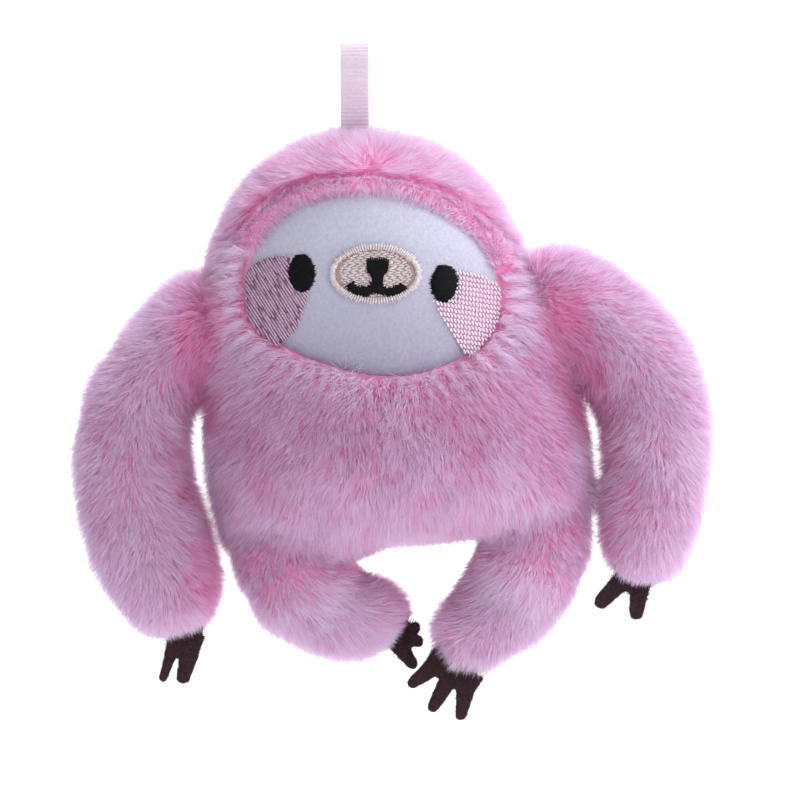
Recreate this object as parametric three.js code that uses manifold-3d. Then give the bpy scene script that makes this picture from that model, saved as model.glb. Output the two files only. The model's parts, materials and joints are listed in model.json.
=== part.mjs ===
// A small plush sloth that hangs from a ribbon loop: a pear-shaped stuffed body whose hood frames a face
// patch with embroidered features, two long arms, two short legs, and a felt claw comb in each limb's end.
// Millimetres, +Z up, the toy faces -Y. The origin is inside the crown of the loop, where a ring holds it.
// Left and right are the viewer's, looking at the face.

import * as THREE from 'three';
import { mergeVertices } from 'three/addons/utils/BufferGeometryUtils.js';
import Module from 'manifold-3d';

const wasm = await Module();
wasm.setup();

// Driving dimensions of the ribbon loop
const loopHeight = 16;
const loopRadius = 4.1;
const ribbonWidth = 5.6;
const ribbonThickness = 0.5;
const ribbonFootRadius = 0.65;

// Driving dimensions of the body, its cover and its stuffing
const bodyWidth = 79.6;
const bodyHeight = 86;
const bodyDepth = 50;
const coverThickness = 3.6;
const hoodSeamDrop = 43;
const sideSeamY = 1;

// Clearances between sewn pieces, and between a limb and its seat
const seamGap = 0.3;
const seatGap = 0.35;
const overrun = 1;

// Driving dimensions of the face: its patch lies on the stuffing, and the thread features lie on the patch
const faceWidth = 51.5;
const faceHeight = 37.9;
const patchThickness = 1.2;
const faceSink = coverThickness - seamGap - patchThickness;
const threadThickness = 0.8;
const threadSink = faceSink - seamGap - threadThickness;
const eyeWidth = 5.3;
const eyeHeight = 7.6;
const eyeSpacing = 28.2;
const eyeLineTilt = THREE.MathUtils.degToRad(4.2);
const muzzleWidth = 18.4;
const muzzleHeight = 11.9;
const muzzleBorder = 1.6;
const noseWidth = 4.6;
const noseHeight = 4.9;
const mouthWidth = 11;
const mouthHeight = 2.2;
const mouthStroke = 1.4;
const leftCheek = { xShare: -0.371, width: 13.2, height: 18.2, dropShare: 0.087 };
const rightCheek = { xShare: 0.371, width: 13.4, height: 17, dropShare: 0.148 };

// Where the face sits on the body, and each feature on the face: shares across and down from a centre
const faceXShare = 0.046;
const faceDropShare = 0.363;
const eyeLineDropShare = -0.029;
const muzzleXShare = 0.01;
const muzzleDropShare = -0.053;
const noseXShare = 0.022;
const noseDropShare = -0.067;
const mouthXShare = 0.005;
const mouthDropShare = 0.26;

// Driving dimensions of the limbs: their seats on the body, reach outwards, drop and depth
const leftShoulder = { xShare: -0.356, dropShare: 0.467, radius: 13.6, tilt: 0 };
const rightShoulderTilt = THREE.MathUtils.degToRad(21.9);
const rightShoulder = { xShare: 0.475, dropShare: 0.441, radius: 14.6, tilt: rightShoulderTilt };
const leftArm = { reach: 27.9, drop: 62.8, depth: 21, handForward: 3 };
const rightArm = { reach: 33, drop: 54.1, depth: 21, handForward: 3 };
const leftHip = { xShare: -0.14, dropShare: 1.0395, radius: 12.3 };
const rightHip = { xShare: 0.432, dropShare: 1.0047, radius: 12.6 };
const leftLeg = { length: 25.5, depth: 23, footForward: -4 };
const rightLeg = { length: 27.7, depth: 23, footForward: 4 };

// Driving dimensions of the felt claws
const feltThickness = 1.2;
const clawRootWidth = 4.3;
const handClawTipWidth = 2.9;
const footClawTipWidth = 2.3;
const thinClawRootWidth = 2.8;
const thinClawTipWidth = 1.8;
const combRootDepth = 3.5;
const leftHand = { spacing: 3.4, palm: 3.6, firstClaw: 8.9, secondClaw: 8.5 };
const rightHand = { spacing: 3.9, palm: 1.6, firstClaw: 7.2, secondClaw: 6.3 };
const leftFoot = { spacing: 1.95, palm: 0, firstClaw: 5.7, secondClaw: 3.8, thirdClaw: 2 };
const rightFoot = { spacing: 3.9, palm: 1.2, firstClaw: 6.2, secondClaw: 7.8, thirdClaw: 6.6 };

// Fineness of the lofted forms
const bodyRings = 16;
const bodySides = 26;
const coreRings = 12;
const coreSides = 18;
const armRings = 12;
const legRings = 8;
const limbSides = 12;
const ballRings = 8;
const recessSides = 16;
const recessRings = 10;
const outlineSteps = 28;
const arcSteps = 8;

// The body's outline from crown to seat, at equal steps of angle down the pear, and the middle of its width
const leftReachShares = [0, 0.131, 0.256, 0.337, 0.379, 0.392, 0.379, 0.367, 0.348, 0.315, 0.04];
const rightReachShares = [0, 0.176, 0.309, 0.392, 0.472, 0.535, 0.573, 0.59, 0.577, 0.16, -0.04];
const frontShares = [0, 0.2, 0.34, 0.4, 0.43, 0.455, 0.49, 0.5, 0.46, 0.31, 0];
const backShares = [0, 0.22, 0.36, 0.42, 0.45, 0.47, 0.48, 0.48, 0.43, 0.28, 0];
const bodyMiddleShare = 0.1;

// Outlines on the face, as shares of each piece's width and height from its centre
const faceShares = [
  [-0.01, 0.5], [0.2, 0.44], [0.39, 0.28], [0.48, 0.1], [0.5, -0.1], [0.46, -0.275], [0.335, -0.41],
  [0.12, -0.5], [-0.13, -0.46], [-0.37, -0.33], [-0.48, -0.2], [-0.5, 0], [-0.49, 0.15], [-0.4, 0.32],
  [-0.28, 0.44],
];
const leftCheekShares = [
  [-0.48, 0.32], [-0.28, 0.45], [0.21, 0.5], [0.41, 0.29], [0.5, 0.09], [0.44, -0.06], [0.3, -0.33],
  [0.01, -0.5], [-0.23, -0.43], [-0.455, -0.2], [-0.5, 0.09],
];
const rightCheekShares = [
  [-0.17, 0.5], [0.13, 0.445], [0.41, 0.34], [0.5, 0.12], [0.5, -0.04], [0.36, -0.28], [-0.045, -0.5],
  [-0.215, -0.33], [-0.39, -0.08], [-0.5, 0.12], [-0.33, 0.28],
];
const noseShares = [
  [-0.5, 0.42], [-0.3, 0.5], [0.3, 0.5], [0.5, 0.42], [0.38, -0.2], [0.2, -0.5], [-0.2, -0.5], [-0.38, -0.2],
];
const mouthShares = [
  [-0.5, 0.5], [-0.44, -0.2], [-0.22, -0.45], [0, 0], [0.22, -0.45], [0.44, -0.2], [0.5, 0.4],
];

// An arm's two silhouette edges, pair by pair down from its seat, then its tip and its claws' root, all as
// shares of its reach outwards and of its drop down from the shoulder
const leftArmShares = {
  outerShares: [
    [0.455, -0.105], [0.756, 0.06], [0.943, 0.236], [1, 0.395], [0.964, 0.602], [0.828, 0.768],
    [0.656, 0.895], [0.491, 0.975],
  ],
  innerShares: [
    [0.097, 0.226], [0.165, 0.287], [0.18, 0.363], [0.137, 0.465], [0.05, 0.57], [-0.028, 0.697],
    [-0.07, 0.818], [0.018, 0.92],
  ],
  tipShare: [0.254, 1],
  clawsShare: [0.205, 0.985],
};
const rightArmShares = {
  outerShares: [
    [0.036, -0.275], [0.24, -0.26], [0.582, -0.124], [0.836, 0.031], [0.976, 0.26], [1, 0.482],
    [0.952, 0.686], [0.885, 0.845], [0.77, 0.956],
  ],
  innerShares: [
    [0.179, 0.242], [0.206, 0.255], [0.267, 0.286], [0.335, 0.346], [0.366, 0.445], [0.364, 0.575],
    [0.348, 0.712], [0.345, 0.834], [0.39, 0.933],
  ],
  tipShare: [0.558, 1],
  clawsShare: [0.52, 0.978],
};
const armDepthShares = [0.9, 0.97, 1, 1, 1, 1, 0.97, 0.86, 0.62];

// A leg's two silhouette edges, tip and claws' root, as shares of its length to the right and up from the hip
const leftLegShares = {
  outerShares: [[0.38, 0.11], [0.55, 0.055], [0.711, 0], [0.829, -0.086], [0.892, -0.215]],
  innerShares: [[-0.332, -0.275], [-0.175, -0.478], [0.123, -0.659], [0.453, -0.698], [0.727, -0.62]],
  tipShare: [0.908, -0.445],
  clawsShare: [0.832, -0.482],
};
const rightLegShares = {
  outerShares: [
    [-0.411, 0.06], [-0.469, -0.065], [-0.577, -0.202], [-0.692, -0.347], [-0.721, -0.52], [-0.685, -0.672],
  ],
  innerShares: [
    [0.39, -0.202], [0.261, -0.412], [0.095, -0.578], [-0.122, -0.722], [-0.29, -0.825], [-0.396, -0.881],
  ],
  tipShare: [-0.57, -0.838],
  clawsShare: [-0.56, -0.826],
};
const legDepthShares = [1, 0.94, 0.86, 0.74, 0.52];

// Colours and surfaces
const furMaterial = { color: 0xd9a3c6, roughness: 0.95, metalness: 0 };
const fibreMaterial = { color: 0xf2f0ee, roughness: 1, metalness: 0 };
const minkyMaterial = { color: 0xdcdcea, roughness: 0.9, metalness: 0 };
const blackThreadMaterial = { color: 0x15141a, roughness: 0.6, metalness: 0 };
const creamThreadMaterial = { color: 0xe8d8c8, roughness: 0.5, metalness: 0 };
const pinkThreadMaterial = { color: 0xdfb4cf, roughness: 0.5, metalness: 0 };
const feltMaterial = { color: 0x3a1f26, roughness: 1, metalness: 0 };
const ribbonMaterial = { color: 0xd8ccd8, roughness: 0.4, metalness: 0 };

const part = new THREE.Group();
const toy = new THREE.Group();
toy.position.z = -(loopHeight + ribbonFootRadius + seatGap);
part.add(toy);

function addPiece(parent, name, geometry, surface) {
  const piece = new THREE.Mesh(geometry, new THREE.MeshStandardMaterial(surface));
  piece.name = name;
  parent.add(piece);
}

// Between three.js geometry and solids that can be cut and joined
function solidOf(geometry) {
  const bare = new THREE.BufferGeometry();
  bare.setAttribute('position', geometry.getAttribute('position'));
  bare.setIndex(geometry.getIndex());
  const merged = mergeVertices(bare);
  return new wasm.Manifold(new wasm.Mesh({
    numProp: 3,
    vertProperties: new Float32Array(merged.getAttribute('position').array),
    triVerts: new Uint32Array(merged.getIndex().array),
  }));
}

function geometryOf(solid) {
  const mesh = solid.getMesh();
  const geometry = new THREE.BufferGeometry();
  geometry.setAttribute('position', new THREE.BufferAttribute(new Float32Array(mesh.vertProperties), 3));
  geometry.setIndex(new THREE.BufferAttribute(new Uint32Array(mesh.triVerts), 1));
  geometry.computeVertexNormals();
  return geometry;
}

// A smooth value between the entries of a table, for a place from 0 to 1 along it
function smoothAt(table, place) {
  const curve = new THREE.SplineCurve(table.map((value, i) => new THREE.Vector2(i, value)));
  return curve.getPoint(place).y;
}

// A closed skin over rings of points, with a tip point before the first ring and after the last
function loft(rings, firstTip, lastTip) {
  const sides = rings[0].length;
  const points = [firstTip, ...rings.flat(), lastTip];
  const last = points.length - 1;
  const faces = [];
  for (let k = 0; k < sides; k += 1) {
    const next = (k + 1) % sides;
    faces.push(0, 1 + k, 1 + next);
    faces.push(last, last - sides + next, last - sides + k);
    for (let r = 0; r < rings.length - 1; r += 1) {
      const here = 1 + r * sides;
      const below = here + sides;
      faces.push(here + k, below + k, below + next);
      faces.push(here + k, below + next, here + next);
    }
  }
  const geometry = new THREE.BufferGeometry();
  geometry.setFromPoints(points);
  geometry.setIndex(faces);
  return geometry;
}

// The pear of the body, drawn in all round by an inset
function bodyForm(inset, ringCount, sides) {
  const rings = [];
  for (let r = 1; r <= ringCount; r += 1) {
    const place = r / (ringCount + 1);
    const drop = bodyHeight * (1 - Math.cos(Math.PI * place)) / 2;
    const left = -bodyWidth * smoothAt(leftReachShares, place);
    const right = bodyWidth * smoothAt(rightReachShares, place);
    const front = bodyDepth * smoothAt(frontShares, place);
    const back = bodyDepth * smoothAt(backShares, place);
    const ring = [];
    for (let k = 0; k < sides; k += 1) {
      const angle = (2 * Math.PI * k) / sides;
      const x = (left + right) / 2 + ((right - left) / 2) * Math.cos(angle);
      const y = Math.sin(angle) * (Math.sin(angle) > 0 ? back : front);
      ring.push(new THREE.Vector3(x, y, -drop));
    }
    rings.push(ring);
  }
  const crown = new THREE.Vector3(0, 0, 0);
  const seat = new THREE.Vector3(bodyWidth * rightReachShares.at(-1), 0, -bodyHeight);
  const middle = new THREE.Vector3(bodyWidth * bodyMiddleShare, 0, -bodyHeight / 2);
  const geometry = loft(rings, crown, seat);
  geometry.translate(-middle.x, -middle.y, -middle.z);
  geometry.scale(1 - 2 * inset / bodyWidth, 1 - 2 * inset / bodyDepth, 1 - 2 * inset / bodyHeight);
  geometry.translate(middle.x, middle.y, middle.z);
  return solidOf(geometry);
}

// A prism along Y under an outline drawn in X and Z
function prism(shape, yFront, yBack) {
  const geometry = new THREE.ExtrudeGeometry(shape, { depth: yBack - yFront, bevelEnabled: false });
  geometry.rotateX(Math.PI / 2);
  geometry.translate(0, yBack, 0);
  return solidOf(geometry);
}

function splineShape(shares, width, height, x, z) {
  const points = shares.map(([across, up]) => new THREE.Vector3(x + width * across, z + height * up, 0));
  const curve = new THREE.CatmullRomCurve3(points, true);
  return new THREE.Shape(curve.getPoints(outlineSteps).slice(0, -1).map((p) => new THREE.Vector2(p.x, p.y)));
}

function ovalShape(width, height, x, z) {
  const shape = new THREE.Shape();
  shape.absellipse(x, z, width / 2, height / 2, 0, 2 * Math.PI, false, 0);
  return shape;
}

// A line of stitching of even width along a curve
function strokeShape(shares, width, height, x, z, stroke) {
  const points = shares.map(([across, up]) => new THREE.Vector2(x + width * across, z + height * up));
  const curve = new THREE.SplineCurve(points);
  const near = [];
  const far = [];
  for (let i = 0; i <= outlineSteps; i += 1) {
    const middle = curve.getPoint(i / outlineSteps);
    const along = curve.getTangent(i / outlineSteps);
    near.push(new THREE.Vector2(middle.x + along.y * stroke / 2, middle.y - along.x * stroke / 2));
    far.unshift(new THREE.Vector2(middle.x - along.y * stroke / 2, middle.y + along.x * stroke / 2));
  }
  return new THREE.Shape([...near, ...far]);
}

function frontPrism(shape) {
  return prism(shape, -bodyDepth, 0);
}

function onBody({ xShare, dropShare }) {
  return new THREE.Vector3(bodyWidth * xShare, 0, -bodyHeight * dropShare);
}

function block(xLow, xHigh, yLow, yHigh, zLow, zHigh) {
  const box = new THREE.BoxGeometry(xHigh - xLow, yHigh - yLow, zHigh - zLow);
  box.translate((xLow + xHigh) / 2, (yLow + yHigh) / 2, (zLow + zHigh) / 2);
  return solidOf(box);
}

// The ribbon, folded into a loop that stands on its foot above the crown of the head
function ribbonLoop() {
  const crownCentre = -(loopRadius - ribbonThickness);
  const footCentre = -loopHeight;
  const lean = Math.asin((loopRadius - ribbonFootRadius) / (crownCentre - footCentre));
  const outside = new THREE.Shape();
  outside.absarc(0, crownCentre, loopRadius, -lean, Math.PI + lean, false);
  outside.absarc(0, footCentre, ribbonFootRadius, Math.PI + lean, 2 * Math.PI - lean, false);
  const inside = new THREE.Path();
  inside.absarc(0, crownCentre, loopRadius - ribbonThickness, -lean, Math.PI + lean, false);
  inside.absarc(0, footCentre, ribbonFootRadius - ribbonThickness, Math.PI + lean, 2 * Math.PI - lean, false);
  outside.holes.push(inside);
  const settings = { depth: ribbonWidth, bevelEnabled: false, curveSegments: arcSteps };
  const geometry = new THREE.ExtrudeGeometry(outside, settings);
  geometry.translate(0, 0, -ribbonWidth / 2);
  geometry.rotateX(Math.PI / 2);
  geometry.rotateZ(Math.PI / 2);
  return geometryOf(solidOf(geometry));
}

// The frame of a shoulder: its hinge line points outwards, and its seat runs upwards across that line
function shoulderFrame(shoulder) {
  const side = Math.sign(shoulder.xShare);
  const outwards = new THREE.Vector3(side * Math.cos(shoulder.tilt), 0, Math.sin(shoulder.tilt));
  const upwards = new THREE.Vector3(-side * Math.sin(shoulder.tilt), 0, Math.cos(shoulder.tilt));
  return { outwards, upwards, centre: onBody(shoulder) };
}

// The round recess in the body's flank that an arm's root stands in
function shoulderRecess(shoulder) {
  const { outwards, centre } = shoulderFrame(shoulder);
  const radius = shoulder.radius + 2 * seatGap;
  const drum = new THREE.CylinderGeometry(radius, radius, bodyDepth, recessSides);
  drum.applyQuaternion(new THREE.Quaternion().setFromUnitVectors(new THREE.Vector3(0, 1, 0), outwards));
  const middle = centre.clone().addScaledVector(outwards, bodyDepth / 2);
  drum.translate(middle.x, middle.y, middle.z);
  return solidOf(drum);
}

// A limb's skin between two silhouette edges, drawn in by an inset. Each ring joins a pair of edge points.
function limbSkin(firstEdge, secondEdge, ringCount, halfDepths, forward, tip, inset) {
  const rings = [];
  for (let r = 0; r < ringCount; r += 1) {
    const place = r / (ringCount - 1);
    const first = firstEdge.getPoint(place);
    const second = secondEdge.getPoint(place);
    const across = new THREE.Vector3().subVectors(second, first);
    const halfWidth = Math.max(across.length() / 2 - inset, 0);
    const halfDepth = Math.max(smoothAt(halfDepths, place) - inset, 0);
    const centre = new THREE.Vector3().addVectors(first, second).multiplyScalar(1 / 2);
    centre.y -= forward * place ** 2;
    across.normalize();
    const ring = [];
    for (let k = 0; k < limbSides; k += 1) {
      const angle = (2 * Math.PI * k) / limbSides;
      const point = centre.clone().addScaledVector(across, halfWidth * Math.cos(angle));
      point.y += halfDepth * Math.sin(angle);
      ring.push(point);
    }
    rings.push(ring);
  }
  const lastMiddle = middleOf(rings.at(-1));
  const end = new THREE.Vector3(tip.x, lastMiddle.y, tip.z);
  const back = new THREE.Vector3().subVectors(lastMiddle, end);
  end.addScaledVector(back.clone().normalize(), Math.min(inset, back.length()));
  return { rings, end };
}

function middleOf(ring) {
  return ring.reduce((sum, p) => sum.add(p), new THREE.Vector3()).divideScalar(ring.length);
}

function turned(rings) {
  return rings.map((ring) => [...ring].reverse());
}

function onArm(arm, shoulder, [out, down]) {
  const centre = onBody(shoulder);
  const reach = Math.sign(shoulder.xShare) * arm.reach;
  return new THREE.Vector3(centre.x + reach * out, 0, centre.z - arm.drop * down);
}

// An arm from its flat root in the shoulder's seat; an early start carries it on past the root
function armForm(arm, shoulder, edges, inset, earlyStart) {
  const { outwards, upwards, centre } = shoulderFrame(shoulder);
  const place = (share) => onArm(arm, shoulder, share);
  const root = centre.clone().addScaledVector(outwards, seatGap);
  const top = root.clone().addScaledVector(upwards, shoulder.radius);
  const bottom = root.clone().addScaledVector(upwards, -shoulder.radius);
  const outer = new THREE.CatmullRomCurve3([top, ...edges.outerShares.map(place)]);
  const inner = new THREE.CatmullRomCurve3([bottom, ...edges.innerShares.map(place)]);
  const halfDepths = armDepthShares.map((share) => share * arm.depth / 2);
  const tip = place(edges.tipShare);
  const { rings, end } = limbSkin(outer, inner, armRings, halfDepths, arm.handForward, tip, inset);
  if (earlyStart > 0) {
    rings.unshift(rings[0].map((p) => p.clone().addScaledVector(outwards, -earlyStart)));
  }
  const rootCentre = root.clone().addScaledVector(outwards, -earlyStart);
  return solidOf(loft(outwards.x < 0 ? rings : turned(rings), rootCentre, end));
}

function onLeg(leg, hip, [across, up]) {
  const centre = onBody(hip);
  return new THREE.Vector3(centre.x + leg.length * across, 0, centre.z + leg.length * up);
}

// A leg: a round thigh that turns in the hip's recess, and a foot that tapers inwards from it
function legForm(leg, hip, edges, inset) {
  const place = (share) => onLeg(leg, hip, share);
  const upper = new THREE.CatmullRomCurve3(edges.outerShares.map(place));
  const lower = new THREE.CatmullRomCurve3(edges.innerShares.map(place));
  const halfDepths = legDepthShares.map((share) => share * leg.depth / 2);
  const tip = place(edges.tipShare);
  const { rings, end } = limbSkin(upper, lower, legRings, halfDepths, leg.footForward, tip, inset);
  const pointsRight = edges.tipShare[0] > 0;
  const foot = solidOf(loft(pointsRight ? turned(rings) : rings, middleOf(rings[0]), end));
  const thigh = new THREE.SphereGeometry(hip.radius - inset, limbSides, ballRings);
  const centre = onBody(hip);
  thigh.translate(centre.x, centre.y, centre.z);
  return solidOf(thigh).add(foot);
}

function hipRecess(hip) {
  const ball = new THREE.SphereGeometry(hip.radius + 2 * seatGap, recessSides, recessRings);
  const centre = onBody(hip);
  ball.translate(centre.x, centre.y, centre.z);
  return solidOf(ball);
}

// A comb of felt claws: a tongue that runs from inside the limb out to the palm, and tapering fingers, grown
// by a margin for its slot
function clawComb(comb, margin) {
  const halfRoot = comb.fingers.length * comb.spacing / 2;
  const tongue = new THREE.Shape([
    new THREE.Vector2(-halfRoot - margin, -comb.palm - margin),
    new THREE.Vector2(halfRoot + margin, -comb.palm - margin),
    new THREE.Vector2(halfRoot + margin, combRootDepth + margin),
    new THREE.Vector2(-halfRoot - margin, combRootDepth + margin),
  ]);
  const halfFelt = feltThickness / 2 + margin;
  let solid = prism(tongue, -halfFelt, halfFelt);
  comb.fingers.forEach(({ lean, length, rootWidth, tipWidth }, i) => {
    const start = (i - (comb.fingers.length - 1) / 2) * comb.spacing;
    const finger = new THREE.Shape();
    finger.moveTo(rootWidth / 2 + margin, combRootDepth / 2);
    finger.lineTo(-rootWidth / 2 - margin, combRootDepth / 2);
    finger.absarc(0, tipWidth / 2 - length, tipWidth / 2 + margin, Math.PI, 2 * Math.PI, false);
    const settings = { depth: 2 * halfFelt, bevelEnabled: false, curveSegments: arcSteps };
    const blade = new THREE.ExtrudeGeometry(finger, settings);
    blade.rotateX(Math.PI / 2);
    blade.translate(0, halfFelt, 0);
    blade.rotateY(THREE.MathUtils.degToRad(-lean));
    blade.translate(start, 0, 0);
    solid = solid.add(solidOf(blade));
  });
  const geometry = geometryOf(solid);
  geometry.rotateY(THREE.MathUtils.degToRad(-comb.turn));
  geometry.translate(comb.at.x, -comb.forward, comb.at.z);
  return solidOf(geometry);
}

function handClaw(lean, length) {
  return { lean, length, rootWidth: clawRootWidth, tipWidth: handClawTipWidth };
}

function footClaw(lean, length) {
  return { lean, length, rootWidth: clawRootWidth, tipWidth: footClawTipWidth };
}

function thinClaw(lean, length) {
  return { lean, length, rootWidth: thinClawRootWidth, tipWidth: thinClawTipWidth };
}

// Where each comb sits, how it is turned and how its fingers lean, in degrees to the right from straight down
const combs = {
  leftHand: {
    ...leftHand, turn: -10,
    at: onArm(leftArm, leftShoulder, leftArmShares.clawsShare), forward: leftArm.handForward,
    fingers: [thinClaw(-8, leftHand.firstClaw), handClaw(-5, leftHand.secondClaw)],
  },
  rightHand: {
    ...rightHand, turn: -23,
    at: onArm(rightArm, rightShoulder, rightArmShares.clawsShare), forward: rightArm.handForward,
    fingers: [handClaw(-21, rightHand.firstClaw), handClaw(16, rightHand.secondClaw)],
  },
  leftFoot: {
    ...leftFoot, turn: 51,
    at: onLeg(leftLeg, leftHip, leftLegShares.clawsShare), forward: leftLeg.footForward,
    fingers: [
      footClaw(-16, leftFoot.firstClaw), footClaw(22, leftFoot.secondClaw), footClaw(75, leftFoot.thirdClaw),
    ],
  },
  rightFoot: {
    ...rightFoot, turn: -32,
    at: onLeg(rightLeg, rightHip, rightLegShares.clawsShare), forward: rightLeg.footForward,
    fingers: [
      footClaw(-20, rightFoot.firstClaw), footClaw(3, rightFoot.secondClaw), footClaw(21, rightFoot.thirdClaw),
    ],
  },
};

// A layer of the body's front, between two insets, that the pieces of the face are cut from
function bodyLayer(sink, thickness) {
  return bodyForm(sink, bodyRings, bodySides).subtract(bodyForm(sink + thickness, bodyRings, bodySides));
}

const faceCentre = onBody({ xShare: faceXShare, dropShare: faceDropShare });

function onFace(xShare, dropShare) {
  return { x: faceCentre.x + faceWidth * xShare, z: faceCentre.z - faceHeight * dropShare };
}

function onMuzzle(xShare, dropShare) {
  const muzzle = onFace(muzzleXShare, muzzleDropShare);
  return { x: muzzle.x + muzzleWidth * xShare, z: muzzle.z - muzzleHeight * dropShare };
}

function faceShape(margin) {
  return splineShape(faceShares, faceWidth - 2 * margin, faceHeight - 2 * margin, faceCentre.x, faceCentre.z);
}

function eyeShape(side, margin) {
  const line = onFace(0, eyeLineDropShare);
  const x = line.x + side * (eyeSpacing / 2) * Math.cos(eyeLineTilt);
  const z = line.z - side * (eyeSpacing / 2) * Math.sin(eyeLineTilt);
  return ovalShape(eyeWidth + 2 * margin, eyeHeight + 2 * margin, x, z);
}

function addCheekAndEye(parent, layer, name, cheek, shares) {
  const side = Math.sign(cheek.xShare);
  const eye = layer.intersect(frontPrism(eyeShape(side, 0)));
  addPiece(parent, `${name}_eye`, geometryOf(eye), blackThreadMaterial);
  const place = onFace(cheek.xShare, cheek.dropShare);
  const outline = splineShape(shares, cheek.width, cheek.height, place.x, place.z);
  const onPatch = layer.intersect(frontPrism(outline)).intersect(frontPrism(faceShape(seamGap)));
  const roundEye = onPatch.subtract(frontPrism(eyeShape(side, seamGap)));
  addPiece(parent, `${name}_cheek`, geometryOf(roundEye), pinkThreadMaterial);
}

function addMuzzle(parent, layer) {
  const centre = onMuzzle(0, 0);
  const oval = (margin) => frontPrism(
    ovalShape(muzzleWidth - 2 * margin, muzzleHeight - 2 * margin, centre.x, centre.z),
  );
  const nose = onMuzzle(noseXShare, noseDropShare);
  const nosePrism = (margin) => frontPrism(
    splineShape(noseShares, noseWidth + 2 * margin, noseHeight + 2 * margin, nose.x, nose.z),
  );
  const mouth = onMuzzle(mouthXShare, mouthDropShare);
  const mouthPrism = (margin) => frontPrism(strokeShape(
    mouthShares, mouthWidth + 2 * margin, mouthHeight, mouth.x, mouth.z, mouthStroke + 2 * margin,
  ));
  const border = layer.intersect(oval(0)).subtract(oval(muzzleBorder));
  addPiece(parent, 'muzzle_border', geometryOf(border), creamThreadMaterial);
  const field = layer.intersect(oval(muzzleBorder + seamGap));
  const fill = field.subtract(nosePrism(seamGap)).subtract(mouthPrism(seamGap));
  addPiece(parent, 'muzzle_fill', geometryOf(fill), creamThreadMaterial);
  const noseSolid = field.intersect(nosePrism(0)).subtract(mouthPrism(seamGap));
  addPiece(parent, 'nose', geometryOf(noseSolid), blackThreadMaterial);
  addPiece(parent, 'mouth', geometryOf(field.intersect(mouthPrism(0))), blackThreadMaterial);
}

function addFace(parent) {
  const patch = bodyLayer(faceSink, patchThickness).intersect(frontPrism(faceShape(seamGap)));
  addPiece(parent, 'face_patch', geometryOf(patch), minkyMaterial);
  const threads = bodyLayer(threadSink, threadThickness);
  addCheekAndEye(parent, threads, 'left', leftCheek, leftCheekShares);
  addCheekAndEye(parent, threads, 'right', rightCheek, rightCheekShares);
  addMuzzle(parent, threads);
}

// The cover's four panels: two halves of the hood, the belly and the back
function addBody(parent) {
  const faceHole = frontPrism(faceShape(0));
  const recesses = [
    shoulderRecess(leftShoulder), shoulderRecess(rightShoulder), hipRecess(leftHip), hipRecess(rightHip),
  ];
  const carve = (solid) => recesses.reduce((rest, recess) => rest.subtract(recess), solid);
  const shell = bodyForm(0, bodyRings, bodySides).subtract(bodyForm(coverThickness, coreRings, coreSides));
  const cover = carve(shell.subtract(faceHole));
  const [farX, farY, farZ] = [bodyWidth, bodyDepth, bodyHeight + overrun];
  const above = -hoodSeamDrop + seamGap / 2;
  const below = -hoodSeamDrop - seamGap / 2;
  const panels = {
    hood_left: block(-farX, -seamGap / 2, -farY, farY, above, overrun),
    hood_right: block(seamGap / 2, farX, -farY, farY, above, overrun),
    belly_panel: block(-farX, farX, -farY, sideSeamY - seamGap / 2, -farZ, below),
    back_panel: block(-farX, farX, sideSeamY + seamGap / 2, farY, -farZ, below),
  };
  for (const [name, region] of Object.entries(panels)) {
    addPiece(parent, name, geometryOf(cover.intersect(region)), furMaterial);
  }
  const core = carve(bodyForm(coverThickness + seamGap, coreRings, coreSides));
  addPiece(parent, 'body_stuffing', geometryOf(core), fibreMaterial);
}

// An arm or a leg: a cover open at its root, stuffing inside it, and a comb of claws in a slot at its end
function addLimb(parent, limbName, endName, outside, inside, core, comb) {
  const slot = clawComb(comb, seamGap);
  addPiece(parent, `${limbName}_cover`, geometryOf(outside.subtract(inside).subtract(slot)), furMaterial);
  addPiece(parent, `${limbName}_stuffing`, geometryOf(core.subtract(slot)), fibreMaterial);
  addPiece(parent, `${endName}_claws`, geometryOf(clawComb(comb, 0)), feltMaterial);
}

function addArm(parent, side, arm, shoulder, edges, comb) {
  const outside = armForm(arm, shoulder, edges, 0, 0);
  const inside = armForm(arm, shoulder, edges, coverThickness, overrun);
  const core = armForm(arm, shoulder, edges, coverThickness + seamGap, 0);
  addLimb(parent, `${side}_arm`, `${side}_hand`, outside, inside, core, comb);
}

function addLeg(parent, side, leg, hip, edges, comb) {
  const outside = legForm(leg, hip, edges, 0);
  const height = hip.radius + overrun;
  const mouth = new THREE.CylinderGeometry(hip.radius / 2, hip.radius / 2, height, limbSides);
  mouth.rotateX(Math.PI / 2);
  const centre = onBody(hip);
  mouth.translate(centre.x, centre.y, centre.z + height / 2);
  const inside = legForm(leg, hip, edges, coverThickness).add(solidOf(mouth));
  const core = legForm(leg, hip, edges, coverThickness + seamGap);
  addLimb(parent, `${side}_leg`, `${side}_foot`, outside, inside, core, comb);
}

addPiece(part, 'ribbon_loop', ribbonLoop(), ribbonMaterial);
addBody(toy);
addFace(toy);
addArm(toy, 'left', leftArm, leftShoulder, leftArmShares, combs.leftHand);
addArm(toy, 'right', rightArm, rightShoulder, rightArmShares, combs.rightHand);
addLeg(toy, 'left', leftLeg, leftHip, leftLegShares, combs.leftFoot);
addLeg(toy, 'right', rightLeg, rightHip, rightLegShares, combs.rightFoot);

export default part;
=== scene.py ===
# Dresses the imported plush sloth: stuffed forms under combed fur, a velvety face patch with raised thread,
# felt claws and a ribbed ribbon loop. Metres, +Z up, the toy faces -Y. Left and right are the viewer's.
import json
import math

import bmesh
import bpy
import numpy as np
from mathutils import Matrix, Vector
from mathutils.bvhtree import BVHTree
from mathutils.kdtree import KDTree


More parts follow.
